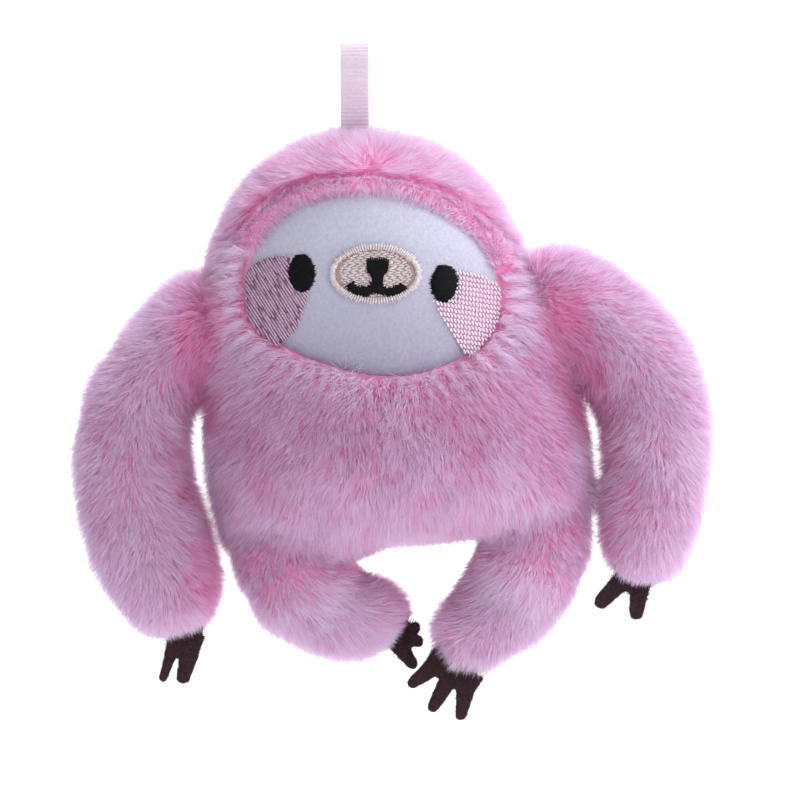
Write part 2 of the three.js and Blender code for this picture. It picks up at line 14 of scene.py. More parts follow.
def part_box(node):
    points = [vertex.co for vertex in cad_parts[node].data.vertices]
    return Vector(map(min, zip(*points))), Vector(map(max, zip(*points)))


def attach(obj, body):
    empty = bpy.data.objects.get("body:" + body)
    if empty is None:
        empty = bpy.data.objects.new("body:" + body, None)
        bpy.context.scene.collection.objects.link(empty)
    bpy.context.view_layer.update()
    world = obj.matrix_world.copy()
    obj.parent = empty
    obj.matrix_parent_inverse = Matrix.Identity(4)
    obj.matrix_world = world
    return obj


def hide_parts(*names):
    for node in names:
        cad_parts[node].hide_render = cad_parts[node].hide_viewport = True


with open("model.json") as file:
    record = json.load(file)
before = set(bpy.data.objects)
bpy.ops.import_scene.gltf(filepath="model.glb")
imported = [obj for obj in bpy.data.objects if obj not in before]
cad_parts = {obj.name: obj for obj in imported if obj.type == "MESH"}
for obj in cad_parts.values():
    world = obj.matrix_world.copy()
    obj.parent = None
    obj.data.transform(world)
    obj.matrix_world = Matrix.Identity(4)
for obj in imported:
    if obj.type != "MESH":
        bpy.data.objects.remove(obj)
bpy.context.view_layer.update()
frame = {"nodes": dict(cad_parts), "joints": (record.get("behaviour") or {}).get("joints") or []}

# The photograph's scale, and the pixel column and row of the crown of the head, which stands at crown_z
pixel = 0.0002
photo_side = 800
crown_column = 355
crown_row = 130
crown_z = -0.017

# Forms: the remeshed skins, their depth under the fur, how full they are, the hidden fillings at the joints,
# and the shorter pile at the hips
skin_voxel = 0.001
skin_depths = {
    "body": 0.0017, "left_arm": 0.0019, "right_arm": 0.0015, "left_leg": 0.0027, "right_leg": 0.0028,
}
skin_smoothing = 9
last_smoothing = 3
shoulder_filling = 0.0135
shoulder_filling_inset = 0.007
arm_root_filling = 0.0115
arm_root_offset = 0.003
hip_filling = 0.0118
hip_filling_front = 0.002
hip_filling_pixels = {"left": (291, 556), "right": (533, 540)}
thigh_filling = 0.0123
thigh_offset = np.array([0.0, -0.003, 0.0])
thigh_pixels = {"left": (304, 594), "right": (508, 606)}
thigh_radii = {"left": 0.0108, "right": 0.0093}
hip_length_share = 0.75
hidden_length_share = 0.5
hidden_leg_reach = (0.0095, 0.0125)
hip_crop_reach = (0.012, 0.020)

# The belly's lower edge rises between the legs, below this row and most between the middle two columns.
# The body thins from the first taper row to the second, and a groove follows the seam over the brow.
seat_row = 520
seat_columns = (345, 400, 465, 520)
seat_rise_share = 0.65
seat_taper_rows = (478, 552)
seat_depth_share = 0.72
brow_groove_depth = 0.0011
brow_groove_width = 0.0009
brow_groove_facing = (0.0, 0.4)

# Where limbs and body face each other, the pile is painted deeper pink along these lines, as painted bounce
# light
bounce_light_reach = 0.0048
bounce_light_tone = 0.62
bounce_light_lines = {
    "body": [[(226, 300), (205, 345), (204, 411)], [(548, 300), (566, 350), (580, 400)]],
    "left_arm": [[(216, 300), (203, 345), (192, 430), (193, 476), (203, 508), (214, 590)]],
    "right_arm": [[(560, 310), (592, 380), (606, 440), (600, 536)]],
    "left_leg": [[(345, 562), (372, 568), (392, 578), (405, 592), (411, 606)]],
    "right_leg": [[(471, 550), (459, 580), (438, 600), (426, 620)]],
}

# Fur: strands to a square metre, a strand's size and stance, how it strays and gathers into clumps,
# and how far its length, lie and tone vary
fur_density = 20.0e6
fur_length = 0.0047
fur_width = 0.00011
fur_lift = 0.72
head_lift = 0.52
fur_lift_spread = 0.13
fur_stray = 0.30
fur_root_depth = 0.0003
strands_to_a_clump = 6
clump_pull = 0.30
length_spread = 0.10
lie_spread = 0.22
clump_tone_spread = 0.15
strand_tone_spread = 0.13
slow_tone_spread = 0.05
largest_piece = 65000
seed = 7

# The slow waves in the fur's length, lie and tone, in the way it runs, in the tufts and in the velvet,
# each as its size and its key
length_wave = (0.012, 11)
lie_waves = ((0.009, 21), (0.009, 22), (0.009, 23))
tone_waves = ((0.006, 51), (0.018, 52))
belly_wave = (0.03, 3)
parting_wave = (0.0016, 61)
tuft_wave = (0.012, 5)
velvet_wave = (0.004, 41)

# The wisps that stand up round the ribbon's foot
ribbon_wisp_reach = 0.0042
ribbon_wisp_lift = 0.95

# The face: its pillow, how far out the brow's seam lies, as a share of the patch's own reach, where the
# body's fur stops, the tufts of fur round the patch, and the place from which the hood's fur parts
pillow_rise = 0.0016
pillow_reach = 1.2
pillow_power = 2.4
patch_tuck = 0.0022
patch_roll = 0.0016
patch_rim_power = 14
patch_rings = 40
patch_steps = 160
brow_share = 1.19
brow_length = 0.0030
bare_face_share = 0.99
bare_face_tilt = 0.2
tuft_count = 54
tuft_gather = 0.7
tuft_sway = 0.8
swirl_column = 372
swirl_row = 171
swirl_fan = 0.22
parting_sway = 0.0025

# The patch's velvet: its pile, and the cloth below, both with painted shade that makes them darker towards
# their lower end
velvet_density = 22.0e6
velvet_length = 0.0010
velvet_width = 0.00010
velvet_grain = 1500.0
velvet_fall = np.array([0.0, 0.0, -0.8])
velvet_lift = 0.55
velvet_pull = 0.2
velvet_stray = 0.4
velvet_tone = 0.45
velvet_painted_shade_rise = 1.1
velvet_tone_spread = 0.12
velvet_front = -0.2
velvet_relief = 0.0002
velvet_shade_rows = (365, 235)
velvet_mottle = ((0.84, 0.84, 0.86), (1.0, 1.0, 1.0))

# Thread: each stitching's height over the face, how far its stitches arch up, and its thread's half width
stitching = {
    "eye": (0.0, 0.0001, 0.000209),
    "left_cheek": (0.0002, 0.00022, 0.00020),
    "right_cheek": (0.0002, 0.00022, 0.00023),
    "muzzle_border": (0.0001, 0.0009, 0.00019),
    "muzzle_fill": (0.00025, 0.00018, 0.0001995),
    "nose": (0.0005, 0.0004, 0.0002185),
    "mouth": (0.00045, 0.0004, 0.000209),
}
thread_sides = 6
thread_steps = 7
border_steps = 9
thread_end_share = 0.35
thread_flatness = 0.8
thread_jitter = 0.00005
satin_spacing = 0.00034
ground_tuck = 0.0004
ground_rim_power = 6
ground_rings = 8
ground_steps = 60
ground_rises = {"eye": 0.0006, "cheek": 0.00025, "muzzle": 0.0003}

# How the rows of stitches run in the eyes, the muzzle's field and the cheeks, which reach up to the eyes,
# and the least stitch that is sewn
row_steps = 400
row_late_spread = 0.1
row_end_share = 0.1
least_stitch_share = 0.5
eye_dome = 0.0006
eye_rows = dict(angle=math.radians(8), spacing=satin_spacing, ragged=0.0005, filled=1.2)
field_rows = dict(angle=math.radians(3), spacing=0.00047, stitch=0.0015, slant=0.00016)
field_margin = 0.0013
cheek_rows = {
    "left": dict(angle=math.radians(-57), spacing=0.00052, stitch=0.0078, filled=0.98),
    "right": dict(angle=math.radians(-58), spacing=0.00054, stitch=0.00125, filled=0.86, step=0.37),
}
cheek_ragged = 0.0002
cheek_reach_share = 0.62
cheek_end_share = 1.16
eye_end_share = 1.25
border_spacing = 0.00047
border_width = 0.0014
border_jitter = 0.017

# Felt, its fuzz, which is longer where a claw leaves the fur, and the pile that is cropped round the claws
felt_voxel = 0.0003
felt_roughness_height = 0.00008
felt_waves = ((0.0016, 31, 0.6), (0.0006, 32, 0.4))
felt_fringe_pull = 2.0
felt_lift = 0.5
felt_pull = 0.1
felt_stray = 0.5
felt_fuzz_density = 12.0e6
felt_fuzz_length = 0.0008
felt_fringe_length = 0.0030
felt_fringe_reach = 0.0034
felt_fuzz_width = 0.00007
bared_claw_share = 0.62
bared_claw_reach = (0.004, 0.012)

joint_places = {joint["name"]: np.array(joint["pos_m"]) for joint in frame["joints"]}
joint_axes = {joint["name"]: np.array(joint["axis"]) for joint in frame["joints"]}


def at(column, row):
    """The place in the toy's middle plane that a pixel of the photograph shows."""
    return np.array([(column - crown_column) * pixel, 0.0, (crown_row - row) * pixel + crown_z])


# Small helpers for arrays of vectors
def unit(vectors):
    lengths = np.linalg.norm(vectors, axis=-1, keepdims=True)
    return vectors / np.maximum(lengths, 1e-12)


def dot(a, b):
    return np.sum(a * b, axis=-1)


def smoothstep(values, low, high):
    share = np.clip((values - low) / (high - low), 0.0, 1.0)
    return share * share * (3.0 - 2.0 * share)


def mixed(a, b, share):
    return a * (1.0 - share) + b * share


def bell(values, width):
    return np.exp(-((values / width) ** 2))


def distances(points, place):
    return np.linalg.norm(points - place, axis=1)


def waves(points, size, key, count=6):
    """Smooth noise between about -1 and 1, as a sum of sines in set directions, with bumps of that size."""
    maker = np.random.default_rng(key)
    directions = unit(maker.normal(size=(count, 3)))
    phases = maker.random(count) * 2.0 * math.pi
    rates = (0.7 + 0.6 * maker.random(count)) * 2.0 * math.pi / size
    return np.sin(points @ directions.T * rates + phases).sum(axis=1) / math.sqrt(count)


# Meshes
def new_object(name, data):
    made = bpy.data.objects.new(name, data)
    bpy.context.scene.collection.objects.link(made)
    return made


def smooth_faces(mesh):
    mesh.polygons.foreach_set("use_smooth", np.ones(len(mesh.polygons), dtype=bool))
    mesh.update()


def mesh_object(name, points, faces):
    mesh = bpy.data.meshes.new(name)
    mesh.from_pydata(points, [], faces)
    smooth_faces(mesh)
    return new_object(name, mesh)


def array_of(items, entry, width, kind=float):
    values = np.empty(len(items) * width, dtype=kind)
    items.foreach_get(entry, values)
    return values.reshape(-1, width)


def points_of(mesh):
    return array_of(mesh.vertices, "co", 3)


def normals_of(mesh):
    return array_of(mesh.vertices, "normal", 3)


def triangles_of(mesh):
    mesh.calc_loop_triangles()
    return array_of(mesh.loop_triangles, "vertices", 3, np.int64)


def move_points(mesh, points):
    mesh.vertices.foreach_set("co", points.ravel())
    mesh.update()


def relax(mesh, rounds):
    points = points_of(mesh)
    edges = array_of(mesh.edges, "vertices", 2, np.int64)
    counts = np.bincount(edges.ravel(), minlength=len(points))[:, None]
    for _ in range(rounds):
        total = np.zeros_like(points)
        np.add.at(total, edges[:, 0], points[edges[:, 1]])
        np.add.at(total, edges[:, 1], points[edges[:, 0]])
        points = mixed(points, total / counts, 0.5)
    move_points(mesh, points)


def remesh(made, voxel):
    modifier = made.modifiers.new("voxels", "REMESH")
    modifier.mode = "VOXEL"
    modifier.voxel_size = voxel
    bpy.context.view_layer.update()
    shown = made.evaluated_get(bpy.context.evaluated_depsgraph_get())
    mesh = bpy.data.meshes.new_from_object(shown)
    made.modifiers.clear()
    made.data = mesh
    mesh.materials.clear()


def union_of(name, nodes, balls=(), shape=None):
    """A copy of the nodes' solids, reshaped, with balls of a centre and a radius, for a remesh to fuse."""
    work = bmesh.new()
    for node in nodes:
        work.from_mesh(frame["nodes"][node].data)
    if shape is not None:
        for corner in work.verts:
            corner.co = shape(corner.co)
    for centre, radius in balls:
        bmesh.ops.create_icosphere(work, subdivisions=4, radius=radius, matrix=Matrix.Translation(centre))
    mesh = bpy.data.meshes.new(name)
    work.to_mesh(mesh)
    work.free()
    return new_object(name, mesh)


def tree_of(mesh):
    return BVHTree.FromPolygons(points_of(mesh).tolist(), triangles_of(mesh).tolist())


def is_inside(tree, box, points):
    """Which points lie inside the closed form that the tree and its box belong to."""
    low, high = box
    near = np.all((points > low) & (points < high), axis=1)
    inside = np.zeros(len(points), dtype=bool)
    for i in np.nonzero(near)[0]:
        place, normal, _, _ = tree.find_nearest(Vector(points[i]))
        inside[i] = (Vector(points[i]) - place).dot(normal) < 0.0
    return inside


# Materials. The mix node's colour sockets share their names with others, so they go by number.
mix_colour_sockets = (6, 7)
mix_result_socket = 2
sheen_roughness = 0.4
grain_range = (0.3, 0.7)
thread_grain = 2600.0
thread_relief = 0.0001
bump_strength = 0.6


def material(name):
    made = bpy.data.materials.new(name)
    made.use_nodes = True
    made.node_tree.nodes.clear()
    return made


def add_node(made, kind, **settings):
    node = made.node_tree.nodes.new(kind)
    for key, value in settings.items():
        setattr(node, key, value)
    return node


def set_inputs(node, **values):
    for key, value in values.items():
        node.inputs[key.replace("_", " ")].default_value = value


def join(made, start, start_socket, end, end_socket):
    made.node_tree.links.new(start.outputs[start_socket], end.inputs[end_socket])


def ramp(made, source, socket, stops):
    stops = list(stops)
    node = add_node(made, "ShaderNodeValToRGB")
    elements = node.color_ramp.elements
    while len(elements) < len(stops):
        elements.new(0.5)
    for element, (place, colour) in zip(elements, stops):
        element.position = place
        element.color = (*colour, 1.0)
    join(made, source, socket, node, "Fac")
    return node


def noise(made, scale, detail=3.0, roughness=0.6):
    place = add_node(made, "ShaderNodeTexCoord")
    node = add_node(made, "ShaderNodeTexNoise")
    set_inputs(node, Scale=scale, Detail=detail, Roughness=roughness)
    join(made, place, "Object", node, "Vector")
    return node


def multiplied(made, first, second):
    node = add_node(made, "ShaderNodeMix", data_type="RGBA", blend_type="MULTIPLY")
    node.inputs["Factor"].default_value = 1.0
    join(made, first, "Color", node, mix_colour_sockets[0])
    join(made, second, "Color", node, mix_colour_sockets[1])
    return node


def bump(made, source, socket, strength, distance):
    node = add_node(made, "ShaderNodeBump")
    set_inputs(node, Strength=strength, Distance=distance)
    join(made, source, socket, node, "Height")
    return node


def finish_material(
    made, colour, colour_socket, roughness, sheen=0.0, relief=None, through=0.0, glow=None, gloss=0.5,
):
    """A cloth-like surface; the share that goes through lets light from behind glow in thin pile."""
    shader = add_node(made, "ShaderNodeBsdfPrincipled")
    set_inputs(
        shader, Roughness=roughness, Sheen_Weight=sheen, Sheen_Roughness=sheen_roughness,
        Specular_IOR_Level=gloss,
    )
    join(made, colour, colour_socket, shader, "Base Color")
    if relief is not None:
        join(made, relief, "Normal", shader, "Normal")
    output = add_node(made, "ShaderNodeOutputMaterial")
    if through > 0.0:
        thin = add_node(made, "ShaderNodeBsdfTranslucent")
        set_inputs(thin, Color=(*glow, 1.0))
        both = add_node(made, "ShaderNodeMixShader")
        both.inputs["Fac"].default_value = through
        join(made, shader, "BSDF", both, 1)
        join(made, thin, "BSDF", both, 2)
        join(made, both, "Shader", output, "Surface")
    else:
        join(made, shader, "BSDF", output, "Surface")
    return made


def pile_material(name, root_to_tip, tones, through, glow):
    """Pile that changes from root to tip up the map's V, and from strand to strand along its U."""
    made = material(name)
    place = add_node(made, "ShaderNodeUVMap", uv_map="OFBake")
    parts = add_node(made, "ShaderNodeSeparateXYZ")
    join(made, place, "UV", parts, "Vector")
    along = ramp(made, parts, "Y", root_to_tip)
    tone = ramp(made, parts, "X", tones)
    both = multiplied(made, along, tone)
    return finish_material(
        made, both, mix_result_socket, roughness=0.75, sheen=0.1, through=through, glow=glow,
    )


def cloth_material(
    name, dark, light, sheen=0.1, roughness=0.9, gloss=0.5, scale=thread_grain, relief=thread_relief,
    strength=bump_strength, **thin,
):
    """Cloth or thread whose grain varies its colour and its height."""
    made = material(name)
    grain = noise(made, scale)
    colour = ramp(made, grain, "Fac", zip(grain_range, (dark, light)))
    height = bump(made, grain, "Fac", strength, relief)
    return finish_material(
        made, colour, "Color", roughness, sheen=sheen, relief=height, gloss=gloss, **thin,
    )


def painted_shade_velvet_material(name, low, high):
    """Velvet with painted shade, darker towards its lower end, where its nap catches less light."""
    made = material(name)
    place = add_node(made, "ShaderNodeTexCoord")
    parts = add_node(made, "ShaderNodeSeparateXYZ")
    join(made, place, "Object", parts, "Vector")
    height = add_node(made, "ShaderNodeMapRange")
    bottom, top = (at(crown_column, row)[2] for row in velvet_shade_rows)
    set_inputs(height, From_Min=bottom, From_Max=top)
    join(made, parts, "Z", height, "Value")
    colour = ramp(made, height, "Result", [(0.0, low), (1.0, high)])
    grain = noise(made, velvet_grain)
    mottle = ramp(made, grain, "Fac", zip(grain_range, velvet_mottle))
    both = multiplied(made, colour, mottle)
    relief = bump(made, grain, "Fac", bump_strength, velvet_relief)
    return finish_material(
        made, both, mix_result_socket, roughness=0.95, sheen=0.3, relief=relief, gloss=0.15,
    )


# Each pile's colours from root to tip, its tones from the darkest strands to the brightest, and its glow
fur_stops = [
    (0.0, (0.95, 0.26, 0.52)),
    (0.3, (0.95, 0.56, 0.80)),
    (0.65, (0.92, 0.88, 0.99)),
    (1.0, (0.93, 0.96, 1.0)),
]
fur_tones = [(0.0, (1.0, 0.42, 0.67)), (0.45, (0.95, 0.91, 0.98)), (1.0, (1.0, 1.0, 1.0))]
fur_glow = (0.95, 0.74, 0.92)
felt_glow = (0.10, 0.04, 0.05)
velvet_glow = (0.75, 0.75, 0.88)
ribbon_glow = (0.92, 0.84, 0.92)
fuzz_stops = [(0.0, (0.030, 0.012, 0.017)), (1.0, (0.120, 0.048, 0.064))]
fleck_tones = [(0.0, (0.22, 0.20, 0.22)), (0.75, (0.45, 0.40, 0.43)), (1.0, (1.0, 0.9, 0.9))]
velvet_stops = [(0.0, (0.53, 0.53, 0.65)), (1.0, (0.71, 0.71, 0.84))]
velvet_tones = [(0.0, (0.52, 0.52, 0.56)), (1.0, (1.0, 1.0, 1.0))]

fur = pile_material("pink fur", fur_stops, fur_tones, through=0.36, glow=fur_glow)
fur_backing = cloth_material(
    "fur backing", (0.90, 0.30, 0.56), (0.96, 0.44, 0.70), sheen=0.2, scale=900.0, relief=0.0003,
)
# Painted shade: the velvet's colour at the patch's lower end, and at its top
velvet = painted_shade_velvet_material("white velvet", (0.42, 0.41, 0.52), (0.62, 0.62, 0.75))
velvet_pile = pile_material("white velvet pile", velvet_stops, velvet_tones, through=0.25, glow=velvet_glow)
black_thread = cloth_material(
    "black thread", (0.002, 0.002, 0.003), (0.007, 0.007, 0.009), sheen=0.0, roughness=0.7, gloss=0.15,
)
shiny = dict(sheen=0.3, roughness=0.4)
cream_thread = cloth_material("cream thread", (0.54, 0.46, 0.47), (0.90, 0.84, 0.87), **shiny)
# Painted shade: the dark pads under the muzzle's and the cheeks' thread stand for the shade in the gaps
# between the stitches
cream_gap_shade = cloth_material("cream gap shade", (0.40, 0.29, 0.26), (0.52, 0.41, 0.37))
# Painted shade: the left cheek's thread and pad are darker copies of the right cheek's pink, for the face's
# shaded left side
shaded_pink_thread = cloth_material("shaded pink thread", (0.42, 0.24, 0.38), (0.80, 0.56, 0.75), **shiny)
shaded_pink_gap_shade = cloth_material("shaded pink gap shade", (0.15, 0.06, 0.11), (0.25, 0.12, 0.19))
pale_thread = cloth_material("pale pink thread", (0.80, 0.62, 0.76), (0.97, 0.85, 0.95), **shiny)
pale_pink_gap_shade = cloth_material("pale pink gap shade", (0.46, 0.20, 0.35), (0.60, 0.34, 0.48))
felt = cloth_material(
    "brown felt", (0.016, 0.006, 0.010), (0.052, 0.018, 0.026), scale=1700.0, relief=0.0004,
)
felt_fuzz = pile_material("felt fuzz", fuzz_stops, fleck_tones, through=0.15, glow=felt_glow)
ribbon_cloth = cloth_material(
    "pale ribbon", (0.84, 0.76, 0.83), (0.96, 0.91, 0.96), sheen=0.2, roughness=0.45, scale=1800.0,
    strength=0.4, through=0.45, glow=ribbon_glow,
)


# Skins: each body's covers and stuffing fused, smoothed and drawn in to where the fur grows from
def make_skin(body, nodes, balls, shape=None):
    made = union_of(f"{body}_padding", nodes, balls, shape)
    remesh(made, skin_voxel)
    relax(made.data, skin_smoothing)
    move_points(made.data, points_of(made.data) - skin_depths[body] * normals_of(made.data))
    remesh(made, skin_voxel)
    relax(made.data, last_smoothing)
    smooth_faces(made.data)
    made.data.materials.append(fur_backing)
    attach(made, body)
    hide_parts(f"{body}_stuffing")
    return made


def hip_place(side):
    """The middle of the body's hidden filling at a hip."""
    return at(*hip_filling_pixels[side]) - np.array([0.0, hip_filling_front, 0.0])


def taper_seat(place):
    """Thins the body towards its lower end, where it grows into the legs."""
    top, low = (at(crown_column, row)[2] for row in seat_taper_rows)
    share = smoothstep(place.z, low, top)
    return Vector((place.x, place.y * mixed(seat_depth_share, 1.0, share), place.z))


def make_skins():
    panels = ["hood_left", "hood_right", "belly_panel", "back_panel", "body_stuffing", "face_patch"]
    skins = {}
    fillings = []
    for side in ("left", "right"):
        shoulder = joint_places[f"{side}_shoulder"]
        axis = joint_axes[f"{side}_shoulder"]
        outwards = axis * np.sign(shoulder[0] * axis[0])
        fillings.append((shoulder - outwards * shoulder_filling_inset, shoulder_filling))
        hip = joint_places[f"{side}_hip"]
        fillings.append((hip_place(side), hip_filling))
        balls = {
            "arm": [(shoulder + outwards * arm_root_offset, arm_root_filling)],
            "leg": [(hip + thigh_offset, thigh_filling), (at(*thigh_pixels[side]), thigh_radii[side])],
        }
        for kind in ("arm", "leg"):
            limb = f"{side}_{kind}"
            skins[limb] = make_skin(limb, [f"{limb}_cover", f"{limb}_stuffing"], balls[kind])
    skins["body"] = make_skin("body", panels, fillings, taper_seat)
    return skins


# The face: the patch's outline as seen from the front, and a smooth surface through its solid. Smaller
# outlines take fewer steps round.
outline_steps = {"face": 180, "muzzle": 180, "cheek": 120, "eye": 90}
reach_steps = 240
fit_shares = np.linspace(0.05, 0.97, 14)
fit_skip = 4


class Outline:
    """A node's outline seen from the front: its reach from its own centre at every angle."""

    def __init__(self, node, kind):
        low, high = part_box(node)
        self.centre = np.array([(low.x + high.x) / 2, (low.z + high.z) / 2])
        self.size = np.array([high.x - low.x, high.z - low.z])
        tree = tree_of(frame["nodes"][node].data)
        self.angles = np.linspace(-math.pi, math.pi, outline_steps[kind], endpoint=False)
        self.reaches = np.array([self.reach_at(tree, low.y, angle) for angle in self.angles])

    def reach_at(self, tree, front, angle):
        steps = np.linspace(0.0, self.size.max(), reach_steps)
        for reach in steps[::-1]:
            x = self.centre[0] + reach * math.cos(angle)
            z = self.centre[1] + reach * math.sin(angle)
            hit = tree.ray_cast(Vector((x, front - self.size.max(), z)), Vector((0.0, 1.0, 0.0)))
            if hit[0] is not None:
                return reach
        return 0.0

    def reach(self, angles):
        return np.interp(angles, self.angles, self.reaches, period=2.0 * math.pi)

    def polar(self, x, z):
        """How far out points lie, as shares of the outline's reach at their angles, and those angles."""
        angles = np.arctan2(z - self.centre[1], x - self.centre[0])
        return np.hypot(x - self.centre[0], z - self.centre[1]) / self.reach(angles), angles

    def place(self, share, angles):
        reach = self.reach(angles) * share
        return self.centre[0] + reach * np.cos(angles), self.centre[1] + reach * np.sin(angles)


def powers(x, z):
    """The terms of a surface of the fourth degree, in centimetres to keep the fit steady."""
    x, z = x * 100.0, z * 100.0
    return np.stack([x**i * z**j for i in range(5) for j in range(5 - i)], axis=-1)


class FaceSurface:
    """The face patch's front as one smooth swelling surface, y as a function of x and z."""

    def __init__(self, outline):
        self.outline = outline
        tree = tree_of(frame["nodes"]["face_patch"].data)
        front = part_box("face_patch")[0].y - outline.size.max()
        found = []
        for share in fit_shares:
            for x, z in zip(*outline.place(share, outline.angles[::fit_skip])):
                place = tree.ray_cast(Vector((x, front, z)), Vector((0.0, 1.0, 0.0)))[0]
                if place is not None:
                    found.append(place)
        found = np.array(found)
        self.middle = found.mean(axis=0)
        terms = powers(found[:, 0] - self.middle[0], found[:, 2] - self.middle[2])
        self.weights = np.linalg.lstsq(terms, found[:, 1], rcond=None)[0]

    def y(self, x, z):
        share, _ = self.outline.polar(x, z)
        swell = pillow_rise * (1.0 - np.clip(share, 0.0, pillow_reach) ** pillow_power)
        return powers(x - self.middle[0], z - self.middle[2]) @ self.weights - swell


face_outline = Outline("face_patch", "face")
face = FaceSurface(face_outline)


def rounded_pad(name, outline, rises, tuck, steps):
    """A closed pad over the outline, in rings of a share and a rise over the face; its rim turns in."""
    angles = np.linspace(-math.pi, math.pi, steps, endpoint=False)
    rows = []
    for share, rise in rises:
        x, z = outline.place(share, angles)
        rows.append(np.stack([x, face.y(x, z) - rise, z], axis=1))
    last = rows[-1].copy()
    last[:, 1] += tuck
    rows.append(last)
    x, z = outline.centre
    top = np.array([[x, face.y(np.array([x]), np.array([z]))[0] - rises[0][1], z]])
    base = np.array([[x, last[:, 1].mean(), z]])
    points = np.concatenate([top, *rows, base])
    faces = []
    for k in range(steps):
        after = (k + 1) % steps
        faces.append((0, 1 + after, 1 + k))
        for r in range(len(rows) - 1):
            here = 1 + r * steps
            below = here + steps
            faces.append((here + k, here + after, below + after, below + k))
        rim = 1 + (len(rows) - 1) * steps
        faces.append((len(points) - 1, rim + k, rim + after))
    return mesh_object(name, points, faces)


def settle(made, body, slot, surface_material, *nodes):
    made.data.materials.append(surface_material)
    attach(made, body)
    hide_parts(*nodes)
    return made


def make_patch():
    rises = [(share, -patch_roll * share**patch_rim_power) for share in np.linspace(0.02, 1.0, patch_rings)]
    made = rounded_pad("face_patch_velvet", face_outline, rises, patch_tuck, patch_steps)
    settle(made, "body", "minky", velvet, "face_patch")
    return made


def make_velvet_pile(patch, covered, maker):
    """The patch's own short pile, left out where a covering outline's thread lies."""
    roots, out = scatter(patch.data, velvet_density, maker)
    kept = out[:, 1] < velvet_front
    for outline in covered:
        kept &= outline.polar(roots[:, 0], roots[:, 2])[0] > 1.0
    roots, out = roots[kept], out[kept]
    count = len(roots)
    length, lift = np.full(count, velvet_length), np.full(count, velvet_lift)
    flow = maker.normal(size=roots.shape) + velvet_fall
    base, bend, tip, _ = comb(roots, out, flow, length, lift, maker, velvet_pull, velvet_stray)
    # Painted shade: the pile's tone rises from the patch's lower end to its top
    height = (roots[:, 2] - face_outline.centre[1]) / face_outline.size[1]
    tone = velvet_tone + velvet_painted_shade_rise * height + velvet_tone_spread * waves(roots, *velvet_wave)
    tone += velvet_tone_spread * maker.normal(size=count)
    strands = (base, bend, tip, out, tone)
    lay_pile(
        "face_patch_pile", strands, velvet_width, maker, "body", "minky", velvet_pile, "face_patch",
        numbered=True,
    )


# Thread: every stitch is a small tube that rises from the cloth and goes back into it
def sew(name, kind, starts, ends, slot, thread, node, steps=thread_steps, dome=None):
    """Stitches from starts to ends (x, z), on a dome over the outline that is given, if any."""
    height, rise, radius = stitching[kind]
    starts, ends = np.array(starts), np.array(ends)
    share = np.linspace(0.0, 1.0, steps)[None, :, None]
    flat = mixed(starts[:, None, :], ends[:, None, :], share)
    x, z = flat[..., 0], flat[..., 1]
    arch = np.sin(math.pi * share[..., 0]) ** 0.5
    if dome is not None:
        off = dome.polar(x, z)[0]
        height = height + eye_dome * np.sqrt(np.clip(1.0 - off**2, 0.0, 1.0))
    y = face.y(x.ravel(), z.ravel()).reshape(x.shape) - height - rise * arch
    middle = np.stack([x, y, z], axis=-1)
    along = unit(ends - starts)
    across = np.stack([-along[:, 1], np.zeros(len(along)), along[:, 0]], axis=-1)[:, None, None, :]
    out = np.array([0.0, -1.0, 0.0])
    thickness = radius * (thread_end_share + (1.0 - thread_end_share) * arch**0.5)
    thickness = thickness[..., None, None] * np.ones((len(starts), 1, 1, 1))
    turn = np.linspace(0.0, 2.0 * math.pi, thread_sides, endpoint=False)[None, None, :, None]
    rings = middle[:, :, None, :] + thickness * (across * np.cos(turn) + thread_flatness * out * np.sin(turn))
    settle(tubes_mesh(name, rings), "body", slot, thread, node)


def tubes_mesh(name, rings):
    count, steps, sides, _ = rings.shape
    grid = np.arange(count * steps * sides).reshape(count, steps, sides)
    here, after = grid[:, :-1, :], grid[:, 1:, :]
    quads = np.stack([here, np.roll(here, -1, 2), np.roll(after, -1, 2), after], axis=-1).reshape(-1, 4)
    caps = [ring[::-1].tolist() for ring in grid[:, 0]] + [ring.tolist() for ring in grid[:, -1]]
    return mesh_object(name, rings.reshape(-1, 3), quads.tolist() + caps)


def rows_of_stitches(
    inside, centre, reach, maker, angle, spacing, stitch, slant=0.0, ragged=0.0, filled=0.96, step=None,
):
    """Stitches along parallel rows, kept where inside(x, z) holds, in lengths of about one stitch.

    Each row can start a step later than the one before it.
    """
    along = np.array([math.cos(angle), math.sin(angle)])
    across = np.array([-along[1], along[0]])
    starts, ends = [], []
    fine = np.linspace(-reach, reach, row_steps)
    rows = int(2.0 * reach / spacing)
    for row in range(rows):
        offset = -reach + (row + 0.5) * spacing
        line = centre + across * offset + along * fine[:, None]
        kept = np.nonzero(inside(line[:, 0], line[:, 1]))[0]
        if len(kept) < 3:
            continue
        late = maker.random() if step is None else row * step % 1.0 + row_late_spread * maker.random()
        start = -reach + stitch * late
        lean = slant * (1.0 if row % 2 else -1.0) + thread_jitter * maker.normal()
        for run in np.split(kept, np.nonzero(np.diff(kept) > 1)[0] + 1):
            low, high = fine[run[0]], fine[run[-1]]
            place = start + stitch * math.floor((low - start) / stitch)
            while place < high - row_end_share * stitch:
                first = max(place, low - ragged * maker.random())
                last = min(place + stitch * filled, high + ragged * maker.random())
                if last - first > least_stitch_share * spacing:
                    starts.append(centre + along * first + across * (offset - lean))
                    ends.append(centre + along * last + across * (offset + lean))
                place += stitch
    return starts, ends


def within(outline, margin=0.0):
    """A test for points inside an outline drawn in by a margin."""
    def inside(x, z):
        share, _ = outline.polar(x, z)
        return share < 1.0 - margin / outline.size.min() * 2.0
    return inside


